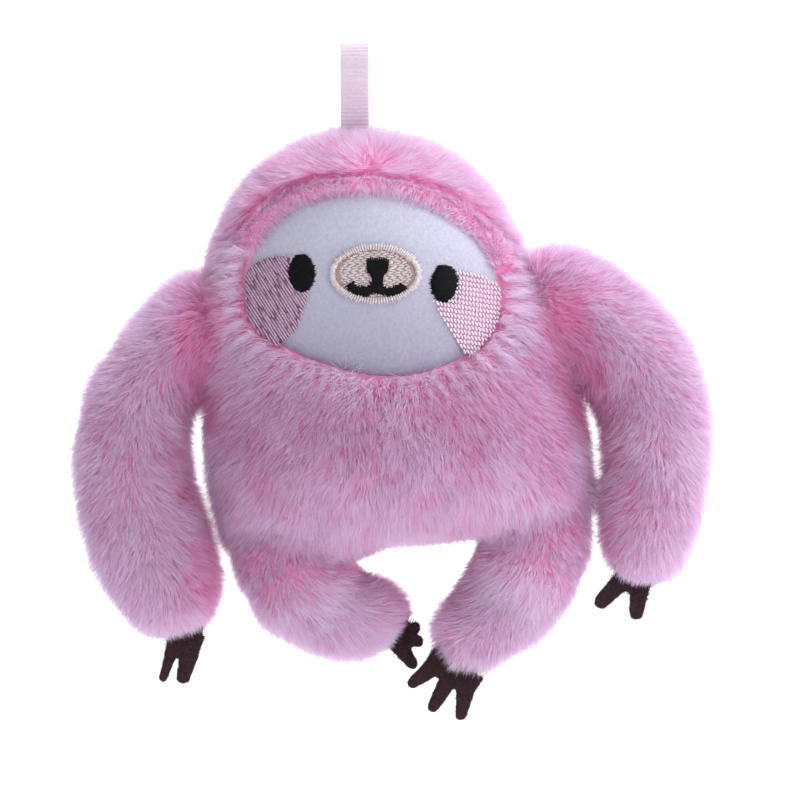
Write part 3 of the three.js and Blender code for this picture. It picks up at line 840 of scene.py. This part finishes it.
# A raised pad under a stitching; under the cheeks and the muzzle its dark colour is painted shade in the gaps
# between the stitches
def ground_pad(name, kind, outline, slot, ground, node):
    shares = np.linspace(0.05, 0.96, ground_rings)
    rises = [(share, ground_rises[kind] * (1.0 - share**ground_rim_power)) for share in shares]
    settle(rounded_pad(name, outline, rises, ground_tuck, ground_steps), "body", slot, ground, node)


def make_eye(side, maker):
    node = f"{side}_eye"
    outline = Outline(node, "eye")
    across = outline.size.max()
    ground_pad(f"{node}_ground", "eye", outline, "black_thread", black_thread, node)
    rows = rows_of_stitches(within(outline), outline.centre, across / 2, maker, stitch=across, **eye_rows)
    sew(f"{node}_satin", "eye", *rows, "black_thread", black_thread, node, dome=outline)
    return outline


def make_cheek(side, thread, ground, eye, maker):
    """A cheek's rows of stitches, which run on right up to the eye."""
    node = f"{side}_cheek"
    outline = Outline(node, "cheek")
    # The pad's dark colour is painted shade between the stitches
    ground_pad(f"{node}_ground", "cheek", outline, "pink_thread", ground, node)

    def inside(x, z):
        share = outline.polar(x, z)[0]
        return (share < 1.0) | ((share < cheek_end_share) & (eye.polar(x, z)[0] < eye_end_share))

    reach = outline.size.max() * cheek_reach_share
    rows = rows_of_stitches(inside, outline.centre, reach, maker, ragged=cheek_ragged, **cheek_rows[side])
    sew(f"{node}_rows", node, *rows, "pink_thread", thread, node)
    return outline


def make_muzzle(maker):
    outline = Outline("muzzle_border", "muzzle")
    width = outline.size / 2
    # The pad's dark cream is painted shade between the stitches
    ground_pad("muzzle_gap_shade", "muzzle", outline, "cream_thread", cream_gap_shade, "muzzle_fill")
    count = int(math.pi * width.sum() / border_spacing)
    turn = np.linspace(0.0, 2.0 * math.pi, count, endpoint=False)
    spread = np.stack([np.cos(turn), np.sin(turn)], axis=1)
    jitter = 1.0 + border_jitter * maker.normal(size=(count, 1))
    outer = outline.centre + spread * width * jitter
    inner = outline.centre + spread * (width - border_width) * (2.0 - jitter)
    cream = ("cream_thread", cream_thread)
    sew("muzzle_border_satin", "muzzle_border", outer, inner, *cream, "muzzle_border", border_steps)
    field = within(outline, field_margin)
    rows = rows_of_stitches(field, outline.centre, width.max(), maker, **field_rows)
    sew("muzzle_fill_rows", "muzzle_fill", *rows, *cream, "muzzle_fill")
    return outline


nose_top = [(366.8, 260.5), (389.6, 260.5)]
nose_neck = [(368.0, 287.5), (387.6, 287.5)]
nose_shoulder = 0.0024
nose_shoulder_shares = (0.45, 0.70)
nose_bow_share = 0.15
nose_ragged = 0.00025
mouth_half_width = 0.00104
mouth_width_spread = 0.15
mouth_spacing_share = 0.8
mouth_line = [
    (351.0, 286.5), (353.5, 291.0), (358.0, 293.5), (364.7, 294.5), (371.0, 292.0), (376.0, 288.0),
    (381.0, 292.0), (389.0, 294.5), (395.5, 294.0), (400.5, 291.5), (402.8, 288.0),
]


def make_nose(maker):
    top_left, top_right = (at(column, row)[[0, 2]] for column, row in nose_top)
    low_left, low_right = (at(column, row)[[0, 2]] for column, row in nose_neck)
    count = int((top_right[0] - top_left[0]) / satin_spacing)
    share = (np.arange(count) + 0.5)[:, None] / count
    ragged = nose_ragged * maker.random((count, 2))
    up = np.array([0.0, 1.0])
    off_middle = np.abs(2.0 * share - 1.0)
    shoulders = smoothstep(off_middle, *nose_shoulder_shares)
    bow = nose_bow_share * nose_shoulder * off_middle**3
    starts = mixed(top_left, top_right, share) + up * (ragged[:, :1] - bow)
    ends = mixed(low_left, low_right, share) + up * (nose_shoulder * shoulders - ragged[:, 1:])
    sew("nose_satin", "nose", starts, ends, "black_thread", black_thread, "nose")


def make_mouth(maker):
    line = np.array([at(column, row)[[0, 2]] for column, row in mouth_line])
    lengths = np.concatenate([[0.0], np.cumsum(np.linalg.norm(np.diff(line, axis=0), axis=1))])
    count = int(lengths[-1] / (satin_spacing * mouth_spacing_share))
    places = np.linspace(0.0, lengths[-1], count)
    middle = np.stack([np.interp(places, lengths, line[:, i]) for i in range(2)], axis=1)
    along = unit(np.gradient(middle, axis=0))
    across = np.stack([-along[:, 1], along[:, 0]], axis=1)
    half = mouth_half_width * (1.0 + mouth_width_spread * maker.normal(size=(count, 1)))
    sides = (middle + across * half, middle - across * half)
    sew("mouth_satin", "mouth", *sides, "black_thread", black_thread, "mouth")


def make_face():
    maker = np.random.default_rng(seed)
    patch = make_patch()
    left_eye, right_eye = make_eye("left", maker), make_eye("right", maker)
    covered = [
        left_eye,
        right_eye,
        # The left cheek's darker pink is painted shade
        make_cheek("left", shaded_pink_thread, shaded_pink_gap_shade, left_eye, maker),
        make_cheek("right", pale_thread, pale_pink_gap_shade, right_eye, maker),
        make_muzzle(maker),
    ]
    make_nose(maker)
    make_mouth(maker)
    make_velvet_pile(patch, covered, maker)


# The ways the fur lies: along a line down each limb, fanning out from it, and on the body as body_flow says
limb_lines = {
    "left_arm": [(212, 300), (150, 345), (128, 400), (124, 460), (140, 530), (165, 600), (182, 660)],
    "right_arm": [(545, 300), (600, 320), (640, 360), (655, 420), (655, 480), (640, 540), (622, 600)],
    "left_leg": [(275, 560), (310, 600), (350, 620), (400, 636), (430, 640)],
    "right_leg": [(530, 560), (505, 600), (475, 640), (440, 680)],
}
limb_claws = {
    "left_arm": "left_hand_claws",
    "right_arm": "right_hand_claws",
    "left_leg": "left_foot_claws",
    "right_leg": "right_foot_claws",
}
limb_line_steps = 40
limb_half_width = 0.012
limb_fan = 0.55
fan_depth_share = 0.3
hip_fan = 0.5
hip_blend_reach = (0.9, 1.35)
hip_blend_share = 0.8
brow_degrees = ((-4.0, 16.0), (152.0, 172.0))
front_depths = (0.002, 0.009)
fall_reach = (0.010, 0.034)
fall_share = 0.7
rim_pull_reach = 0.30
head_pull_share = 0.45
belly_pull_share = 0.9
belly_sway = 0.12
belly_to_head = (-0.010, 0.012)
flat_pile_rise = 0.014


def limb_flow(points, limb, spread):
    """Along the limb's line towards its tip, fanning away from the line."""
    axis = np.array([at(column, row) for column, row in limb_lines[limb]])
    steps = np.linspace(0.0, len(axis) - 1.0, limb_line_steps)
    fine = np.stack([np.interp(steps, np.arange(len(axis)), axis[:, i]) for i in range(3)], axis=1)
    along = unit(np.gradient(fine, axis=0))
    away = points[:, None, :] - fine[None, :, :]
    nearest = np.argmin(dot(away, away), axis=1)
    radial = away[np.arange(len(points)), nearest]
    radial[:, 1] *= fan_depth_share
    return unit(along[nearest] + spread * radial / limb_half_width)


def brow_window(angles):
    """1 over the brow, where the hood's seam arches, and 0 beside and under the face."""
    degrees = np.degrees(angles)
    right, left = (smoothstep(degrees, *ends) for ends in brow_degrees)
    return right * (1.0 - left) * (degrees > -90.0)


swirl = at(swirl_column, swirl_row)
swirl[1] = face.y(swirl[:1], swirl[2:])[0]


def on_front(points):
    return smoothstep(-points[:, 1], *front_depths)


def tuft_phase(points, angles):
    """Runs through a whole turn from one notch between the tufts round the face to the next."""
    return angles * tuft_count + tuft_sway * waves(points, *tuft_wave)


def body_flow(points):
    """Sideways from the parting over the head, outwards round the face, and down the body."""
    share, angles = face_outline.polar(points[:, 0], points[:, 2])
    front = on_front(points)[:, None]
    outwards = np.stack([np.cos(angles), np.zeros(len(points)), np.sin(angles)], axis=1)
    down = np.array([0.0, 0.0, -1.0])
    sideways = np.array([1.0, 0.0, 0.0])
    away = points - swirl + parting_sway * waves(points, *parting_wave)[:, None] * sideways
    fall = smoothstep(distances(away, 0.0), *fall_reach)[:, None]
    radial = unit(unit(away * np.array([1.0, 1.0, swirl_fan])) + fall_share * fall * down)
    low, high = (face_outline.centre[1] + off for off in belly_to_head)
    height = smoothstep(points[:, 2], low, high)[:, None]
    near = np.exp(-np.clip(share - 1.0, 0.0, None) / rim_pull_reach)[:, None] * front
    head = unit(mixed(radial, outwards, head_pull_share * near))
    sway = belly_sway * waves(points, *belly_wave)[:, None] * sideways
    belly = unit(mixed(down + sway, outwards, belly_pull_share * near))
    flow = unit(mixed(belly, head, height))
    tangent = np.stack([-np.sin(angles), np.zeros(len(points)), np.cos(angles)], axis=1)
    flow = flow + tuft_gather * (np.sin(tuft_phase(points, angles)) * near[:, 0] ** 2)[:, None] * tangent
    inwards = (brow_window(angles) * front[:, 0] * (share < brow_share))[:, None]
    return mixed(flow, -outwards, inwards)


def hip_blend(points, flow):
    """The body's flow, turned into the leg's towards each hip."""
    for side in ("left", "right"):
        distance = distances(points, joint_places[f"{side}_hip"])
        near, far = (hip_filling * share for share in hip_blend_reach)
        share = (1.0 - smoothstep(distance, near, far))[:, None]
        flow = mixed(flow, limb_flow(points, f"{side}_leg", hip_fan), share * hip_blend_share)
    return unit(flow)


# How bright the body's pile is, what each zone round the face adds to that and to how steeply it stands, and
# how wide the zones are, as shares of the face's reach
plain_tone = 0.40
rim_tone = 0.46
band_tone = 0.22
seam_tone = -0.28
notch_tone = -0.50
rim_lift = -0.10
band_lift = -0.04
seam_width = 0.035
rim_width = 0.16
notch_share = 1.03
notch_width = 0.06
notch_power = 6
limb_tone = 0.60


def body_style(points):
    """Each strand's length, how steeply it stands and how bright it is, over the body."""
    share, angles = face_outline.polar(points[:, 0], points[:, 2])
    front = on_front(points)
    window = brow_window(angles) * front
    in_band = window * (share < brow_share)
    at_seam = window * bell(share - brow_share, seam_width)
    rim = bell(share - 1.0, rim_width) * (1.0 - window) * front
    length = mixed(np.full(len(points), fur_length), brow_length, in_band)
    on_head = smoothstep(points[:, 2], face_outline.centre[1], face_outline.centre[1] + flat_pile_rise)
    lift = mixed(fur_lift, head_lift, on_head) + rim_lift * rim + band_lift * in_band
    for side in ("left", "right"):
        distance = distances(points, joint_places[f"{side}_hip"])
        length = length * mixed(hip_length_share, 1.0, smoothstep(distance, *hip_crop_reach))
    foot = bell(distances(points, at(crown_column, crown_row)), ribbon_wisp_reach)
    lift = mixed(lift, ribbon_wisp_lift, foot)
    notches = np.clip(np.cos(tuft_phase(points, angles)), 0.0, 1.0) ** notch_power
    edge = bell(share - notch_share, notch_width) * front
    tone = plain_tone + rim_tone * rim + band_tone * in_band + seam_tone * at_seam
    tone += notch_tone * notches * edge
    return length, lift, tone


def limb_style(side, kind, claws):
    """A limb's even pile, cropped round its claws to show the felt, and where a leg sits in the hip."""
    low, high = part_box(claws)
    middle = (np.array(low) + np.array(high)) / 2

    def style(points):
        count = len(points)
        bared = smoothstep(distances(points, middle), *bared_claw_reach)
        length = fur_length * mixed(bared_claw_share, 1.0, bared)
        if kind == "leg":
            off_hip = smoothstep(distances(points, hip_place(side)), *hidden_leg_reach)
            length *= mixed(hidden_length_share, 1.0, off_hip)
        return length, np.full(count, fur_lift), np.full(count, limb_tone)
    return style


# Fur
def scatter(mesh, density, maker):
    points, normals, triangles = points_of(mesh), normals_of(mesh), triangles_of(mesh)
    a, b, c = (points[triangles[:, i]] for i in range(3))
    areas = np.linalg.norm(np.cross(b - a, c - a), axis=1) / 2
    total = np.cumsum(areas)
    count = int(total[-1] * density)
    pick = np.searchsorted(total, maker.random(count) * total[-1])
    first, second = maker.random((2, count, 1))
    folded = first + second > 1.0
    first, second = np.where(folded, 1.0 - first, first), np.where(folded, 1.0 - second, second)
    weights = (1.0 - first - second, first, second)
    roots = sum(w * points[triangles[pick, i]] for i, w in enumerate(weights))
    out = unit(sum(w * normals[triangles[pick, i]] for i, w in enumerate(weights)))
    return roots, out


def nearest_of(points, parents):
    tree = KDTree(len(parents))
    for i, place in enumerate(parents.tolist()):
        tree.insert(place, i)
    tree.balance()
    return np.array([tree.find(place)[1] for place in points.tolist()])


# How strands vary: the least share of the length and the spread over it, the steepest and the flattest, where
# a strand bends and how far its tip lies over, and the least share and the spread of the clump's pull
length_shares = (0.72, 0.5)
steepness_range = (0.12, 0.97)
bend_shares = (0.42, 0.20)
tip_share = 0.9
pull_shares = (0.5, 0.7)
bend_pull_share = 0.45


def comb(roots, out, flow, length, lift, maker, pull, wild):
    """Each strand's root, bend and tip: it stands up from the skin, lies over along the flow, and clumps."""
    count = len(roots)
    lie = flow + wild * maker.normal(size=(count, 3))
    lie = unit(lie - dot(lie, out)[:, None] * out)
    reach = (length * (length_shares[0] + length_shares[1] * maker.random(count)))[:, None]
    steep = np.clip(lift + fur_lift_spread * maker.normal(size=count), *steepness_range)[:, None]
    base = roots - out * fur_root_depth
    bend = roots + reach * (bend_shares[0] * steep**0.5 * out + bend_shares[1] * lie)
    tip = roots + reach * (steep * out + np.sqrt(1.0 - steep**2) * tip_share * lie)
    parents = maker.permutation(count)[: max(1, count // strands_to_a_clump)]
    chosen = parents[nearest_of(roots, roots[parents])]
    strength = (pull * (pull_shares[0] + pull_shares[1] * maker.random(count)))[:, None]
    tip = mixed(tip, tip[chosen], strength)
    bend = mixed(bend, bend[chosen], bend_pull_share * strength)
    return base, bend, tip, chosen


# A strand's shape: where its quad ends and how broad it is there, how it rolls and how its width varies,
# and its bounds and its half width on the map
quad_share = 0.55
quad_breadth = 0.75
roll_spread = 0.45
breadth_shares = (0.7, 0.6)
map_tones = (0.02, 0.98)
map_heights = (0.004, 0.996)
map_half_width = 0.006


def strand_mesh(name, base, bend, tip, out, tone, width, maker):
    """Flat tapering strands that face outwards, each of a quad and a point, mapped for their pile colour."""
    count = len(base)
    shares = np.array([0.0, quad_share])
    breadths = np.array([1.0, quad_breadth])
    roll = maker.normal(size=count)[:, None] * roll_spread
    along = unit(tip - base)
    across = unit(np.cross(along, out))
    across = unit(across * np.cos(roll) + np.cross(along, across) * np.sin(roll))
    half = width / 2 * (breadth_shares[0] + breadth_shares[1] * maker.random(count))[:, None]
    points = np.empty((count, 5, 3))
    for level, (share, breadth) in enumerate(zip(shares, breadths)):
        middle = base * (1 - share) ** 2 + bend * 2 * share * (1 - share) + tip * share**2
        points[:, 2 * level] = middle - across * half * breadth
        points[:, 2 * level + 1] = middle + across * half * breadth
    points[:, 4] = tip
    corners = np.array([0, 1, 3, 2, 2, 3, 4])
    heights = np.array([0.0] * 2 + [quad_share] * 4 + [1.0])
    sides = np.array([-1, 1, 1, -1, -1, 1, 0])
    mesh = bpy.data.meshes.new(name)
    mesh.vertices.add(count * 5)
    mesh.vertices.foreach_set("co", points.ravel())
    mesh.loops.add(count * 7)
    loops = (np.arange(count)[:, None] * 5 + corners).ravel()
    mesh.loops.foreach_set("vertex_index", loops.astype(np.int32))
    mesh.polygons.add(count * 2)
    firsts = (np.arange(count)[:, None] * 7 + np.array([0, 4])).ravel()
    mesh.polygons.foreach_set("loop_start", firsts.astype(np.int32))
    mesh.polygons.foreach_set("use_smooth", np.ones(count * 2, dtype=bool))
    mesh.update(calc_edges=True)
    places = mesh.uv_layers.new(name="OFBake")
    u = np.clip(tone, *map_tones)[:, None] + map_half_width * sides
    v = np.clip(np.broadcast_to(heights, u.shape), *map_heights)
    places.data.foreach_set("uv", np.stack([u, v], axis=-1).ravel())
    return new_object(name, mesh)


# Painted bounce light: the pile close to these lines is made deeper pink
def painted_bounce_light(roots, lines):
    """How close each root lies to one of the lines, seen from the front, from 0 to 1."""
    found = np.zeros(len(roots))
    for pixels in lines:
        corners = np.array([at(column, row)[[0, 2]] for column, row in pixels])
        for a, b in zip(corners[:-1], corners[1:]):
            off = roots[:, [0, 2]] - a
            share = np.clip(off @ (b - a) / dot(b - a, b - a), 0.0, 1.0)[:, None]
            found = np.maximum(found, bell(distances(off, share * (b - a)), bounce_light_reach))
    return found


def lay_pile(name, strands, width, maker, body, slot, pile, node, numbered=False):
    """Strands, as arrays of their roots, bends, tips, ways out and tones, in pieces that stay small."""
    count = len(strands[0])
    for part, some in enumerate(np.array_split(np.arange(count), math.ceil(count / largest_piece))):
        label = f"{name}_{part + 1}" if numbered or part > 0 else name
        made = strand_mesh(label, *(values[some] for values in strands), width, maker)
        settle(made, body, slot, pile, node)


def off_face(roots, out):
    share, _ = face_outline.polar(roots[:, 0], roots[:, 2])
    return ~((share < bare_face_share) & (roots[:, 1] < 0.0) & (out[:, 1] < bare_face_tilt))


def grow_coat(skins, trees, body, others, flow, style, maker):
    """The roots of one body's fur, outside the face and the skins of the others, and its strands."""
    roots, out = scatter(skins[body].data, fur_density, maker)
    kept = off_face(roots, out) if body == "body" else np.ones(len(roots), dtype=bool)
    for other in others:
        kept &= ~is_inside(*trees[other], roots)
    roots, out = roots[kept], out[kept]
    length, lift, tone = style(roots)
    length = length * (1.0 + length_spread * waves(roots, *length_wave))
    lie = flow(roots) + lie_spread * np.stack([waves(roots, *wave) for wave in lie_waves], axis=1)
    stray = (fur_stray * length / fur_length)[:, None]
    base, bend, tip, chosen = comb(roots, out, lie, length, lift, maker, clump_pull, stray)
    clump_tone = maker.normal(size=len(roots))[chosen]
    tone = tone + clump_tone_spread * clump_tone + strand_tone_spread * maker.normal(size=len(roots))
    first, second = (slow_tone_spread * waves(roots, *wave) for wave in tone_waves)
    tone += first + second
    # Painted bounce light: deeper pink where limbs and body face each other
    tone -= bounce_light_tone * painted_bounce_light(roots, bounce_light_lines[body])
    return roots, (base, bend, tip, out, tone)


def groove_brow(mesh):
    """Draws the hood in along the seam over the brow."""
    points, normals = points_of(mesh), normals_of(mesh)
    share, angles = face_outline.polar(points[:, 0], points[:, 2])
    off = (share - brow_share) * face_outline.size.mean() / 2
    depth = brow_groove_depth * bell(off, brow_groove_width) * brow_window(angles)
    depth *= smoothstep(-normals[:, 1], *brow_groove_facing)
    move_points(mesh, points - normals * depth[:, None])


def raise_seat(mesh):
    """Lifts the belly's lower edge between the legs."""
    points = points_of(mesh)
    first, second, third, last = (at(column, seat_row)[0] for column in seat_columns)
    between = smoothstep(points[:, 0], first, second) * (1.0 - smoothstep(points[:, 0], third, last))
    below = np.minimum(points[:, 2] - at(crown_column, seat_row)[2], 0.0)
    points[:, 2] -= seat_rise_share * between * below
    move_points(mesh, points)


def make_fur(skins):
    maker = np.random.default_rng(seed)
    trees = {}
    for name, skin in skins.items():
        points = points_of(skin.data)
        trees[name] = (tree_of(skin.data), (points.min(axis=0), points.max(axis=0)))
    seam = np.array(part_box("hood_left")[0])[2]
    side_seam = np.array(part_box("back_panel")[0])[1]
    middle = np.array(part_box("hood_right")[0])[0]
    roots, strands = grow_coat(
        skins, trees, "body", limb_lines, lambda p: hip_blend(p, body_flow(p)), body_style, maker,
    )
    x, y, z = roots.T
    panels = {
        "hood_left": (z >= seam) & (x < middle),
        "hood_right": (z >= seam) & (x >= middle),
        "belly_panel": (z < seam) & (y < side_seam),
        "back_panel": (z < seam) & (y >= side_seam),
    }
    for node, kept in panels.items():
        some = [values[kept] for values in strands]
        lay_pile(f"{node}_fur", some, fur_width, maker, "body", "fur", fur, node)
    for limb, claws in limb_claws.items():
        side, kind = limb.split("_")
        others = ["body"] if kind == "arm" else []
        _, strands = grow_coat(
            skins, trees, limb, others, lambda p: limb_flow(p, limb, limb_fan),
            limb_style(side, kind, claws), maker,
        )
        lay_pile(f"{limb}_fur", strands, fur_width, maker, limb, "fur", fur, f"{limb}_cover")


# Claws
def make_claws(node, body, limb_skin, maker):
    made = union_of(f"{node}_felt", [node])
    remesh(made, felt_voxel)
    relax(made.data, last_smoothing)
    points, normals = points_of(made.data), normals_of(made.data)
    coarse, fine = (waves(points, size, key) * share for size, key, share in felt_waves)
    height = coarse + fine
    move_points(made.data, points + normals * (felt_roughness_height * height)[:, None])
    smooth_faces(made.data)
    settle(made, body, "felt", felt, node)
    roots, out = scatter(made.data, felt_fuzz_density, maker)
    tree = tree_of(limb_skin.data)
    nearest = np.array([tree.find_nearest(Vector(place))[0] for place in roots.tolist()])
    fringe = bell(distances(nearest, roots), felt_fringe_reach)
    flow = maker.normal(size=roots.shape) + felt_fringe_pull * fringe[:, None] * unit(nearest - roots)
    length = mixed(felt_fuzz_length, felt_fringe_length, fringe)
    lift = np.full(len(roots), felt_lift)
    base, bend, tip, _ = comb(roots, out, flow, length, lift, maker, felt_pull, felt_stray)
    tone = maker.random(len(roots))
    strands = (base, bend, tip, out, tone)
    lay_pile(f"{node}_fuzz", strands, felt_fuzz_width, maker, body, "felt", felt_fuzz, node)


# The ribbon: a thin ribbed strip, folded into a loop whose foot is sunk in the crown's pile
ribbon_inset = 0.0002
ribbon_foot_gap = 0.0004
ribbon_half_thickness = 0.00016
ribbon_edge_rise = 0.00007
ribbon_edge_share = 0.93
ribbon_edge_width = 0.05
ribbon_wave_height = 0.00015
ribbon_wave_length = 0.0045
ribbon_foot_depth = 0.0035
ribbon_rib_height = 0.00012
ribbon_rib_spacing = 0.00078
ribbon_arc_steps = 41
ribbon_steps = 420
ribbon_across_steps = 25


def make_ribbon():
    low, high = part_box("ribbon_loop")
    half = (high.x - low.x) / 2
    radius = (high.y - low.y) / 2 - ribbon_inset
    foot = low.z - ribbon_foot_depth
    top = high.z - radius - ribbon_inset
    arc = np.linspace(0.0, math.pi, ribbon_arc_steps)
    ys = np.concatenate([[ribbon_foot_gap], radius * np.cos(arc), [-ribbon_foot_gap]])
    zs = np.concatenate([[foot], top + radius * np.sin(arc), [foot]])
    lengths = np.concatenate([[0.0], np.cumsum(np.hypot(np.diff(ys), np.diff(zs)))])
    places = np.linspace(0.0, lengths[-1], ribbon_steps)
    path = np.stack([np.interp(places, lengths, ys), np.interp(places, lengths, zs)], axis=1)
    outwards = np.gradient(path, axis=0)
    outwards = unit(np.stack([outwards[:, 1], -outwards[:, 0]], axis=1))
    rib = ribbon_rib_height * np.sin(2.0 * math.pi * places / ribbon_rib_spacing)
    acrosses = np.linspace(-1.0, 1.0, ribbon_across_steps)
    edge = ribbon_edge_rise * bell(np.abs(acrosses) - ribbon_edge_share, ribbon_edge_width)
    points = []
    for face_side in (1.0, -1.0):
        for k, across in enumerate(acrosses):
            off = face_side * (ribbon_half_thickness + edge[k] + rib)
            wave = ribbon_wave_height * np.sin(places / ribbon_wave_length + across)
            ring = path + outwards * (off + wave)[:, None]
            points.append(np.stack([np.full(len(ring), across * half), ring[:, 0], ring[:, 1]], axis=1))
    grid = np.arange(len(points) * len(places)).reshape(2, len(acrosses), len(places))
    faces = []
    for side in range(2):
        a, b = grid[side, :-1, :-1], grid[side, 1:, :-1]
        c, d = grid[side, 1:, 1:], grid[side, :-1, 1:]
        order = [a, d, c, b] if side == 0 else [a, b, c, d]
        faces += np.stack(order, axis=-1).reshape(-1, 4).tolist()
    faces += rim_faces(grid)
    made = mesh_object("ribbon_loop_ribbed", np.concatenate(points), faces)
    settle(made, "hanger", "ribbon", ribbon_cloth, "ribbon_loop")


def rim_faces(grid):
    """Joins the strip's two sides all along their edges."""
    rims = [np.concatenate([side[0], side[1:, -1], side[-1, -2::-1], side[-2:0:-1, 0]]) for side in grid]
    return np.stack([rims[0], rims[1], np.roll(rims[1], -1), np.roll(rims[0], -1)], axis=-1).tolist()


# The stage: a pale sweep in a pale world. The overhead light stands a little behind the toy, the key at its
# upper right, the front and side lights fill in, and the wall wash lights the sweep.
floor_z = -0.165
sweep_half_width = 2.5
sweep_front = -1.6
sweep_back = 1.7
sweep_radius = 0.5
sweep_height = 2.4
sweep_steps = 17
world_colour = (0.97, 0.98, 1.0, 1.0)
world_strength = 0.31
toy_middle = (0.01, 0.0, -0.06)
lights = {
    "overhead": dict(place=(0.25, 0.25, 1.1), size=0.9, power=6.0),
    "key": dict(place=(0.95, -0.05, 0.60), size=0.5, power=6.8),
    "front": dict(place=(0.25, -0.85, 1.0), size=1.0, power=5.3),
    "side": dict(place=(0.55, -0.45, -0.10), size=0.4, power=0.9, colour=(1.0, 0.78, 0.88)),
    "wall wash": dict(place=(0.0, 0.7, 1.6), target=(0.0, 1.7, 0.1), size=1.2, power=34.0),
}


def make_stage():
    arc = np.linspace(0.0, math.pi / 2, sweep_steps)
    bend = sweep_back - sweep_radius + sweep_radius * np.sin(arc)
    ys = np.concatenate([[sweep_front], bend, [sweep_back]])
    zs = np.concatenate([[0.0], sweep_radius * (1.0 - np.cos(arc)), [sweep_height]]) + floor_z
    points = [(x, y, z) for x in (-sweep_half_width, sweep_half_width) for y, z in zip(ys, zs)]
    count = len(ys)
    faces = [(k, k + count, k + count + 1, k + 1) for k in range(count - 1)]
    made = mesh_object("sweep", points, faces)
    paper = cloth_material(
        "pale sweep", (0.90, 0.90, 0.91), (0.92, 0.92, 0.93), sheen=0.0, scale=3.0, relief=0.0,
    )
    made.data.materials.append(paper)


def add_light(name, place, size, power, target=toy_middle, colour=(1.0, 1.0, 1.0)):
    data = bpy.data.lights.new(name, "AREA")
    data.shape = "DISK"
    data.size = size
    data.energy = power
    data.color = colour
    made = new_object(name, data)
    made.location = place
    made.rotation_euler = (Vector(target) - Vector(place)).to_track_quat("-Z", "Y").to_euler()


def light_scene():
    world = bpy.data.worlds.new("pale world")
    world.use_nodes = True
    set_inputs(world.node_tree.nodes["Background"], Color=world_colour, Strength=world_strength)
    bpy.context.scene.world = world
    for name, settings in lights.items():
        add_light(name, **settings)


# The camera stands level with the toy's middle, at the photograph's framing
lens = 0.250
sensor = 0.036


def make_camera():
    data = bpy.data.cameras.new("camera")
    data.lens = lens * 1000.0
    data.sensor_width = sensor * 1000.0
    made = new_object("camera", data)
    middle = at(photo_side / 2, photo_side / 2)
    distance = photo_side * pixel * lens / sensor
    made.location = (middle[0], -distance, middle[2])
    made.rotation_euler = (math.radians(90), 0.0, 0.0)
    bpy.context.scene.camera = made
    bpy.context.scene.view_settings.view_transform = "Standard"


make_camera()
make_stage()
light_scene()
skins = make_skins()
groove_brow(skins["body"].data)
raise_seat(skins["body"].data)
make_face()
make_fur(skins)
claw_maker = np.random.default_rng(seed + 1)
for limb, claws in limb_claws.items():
    make_claws(claws, limb, skins[limb], claw_maker)
make_ribbon()
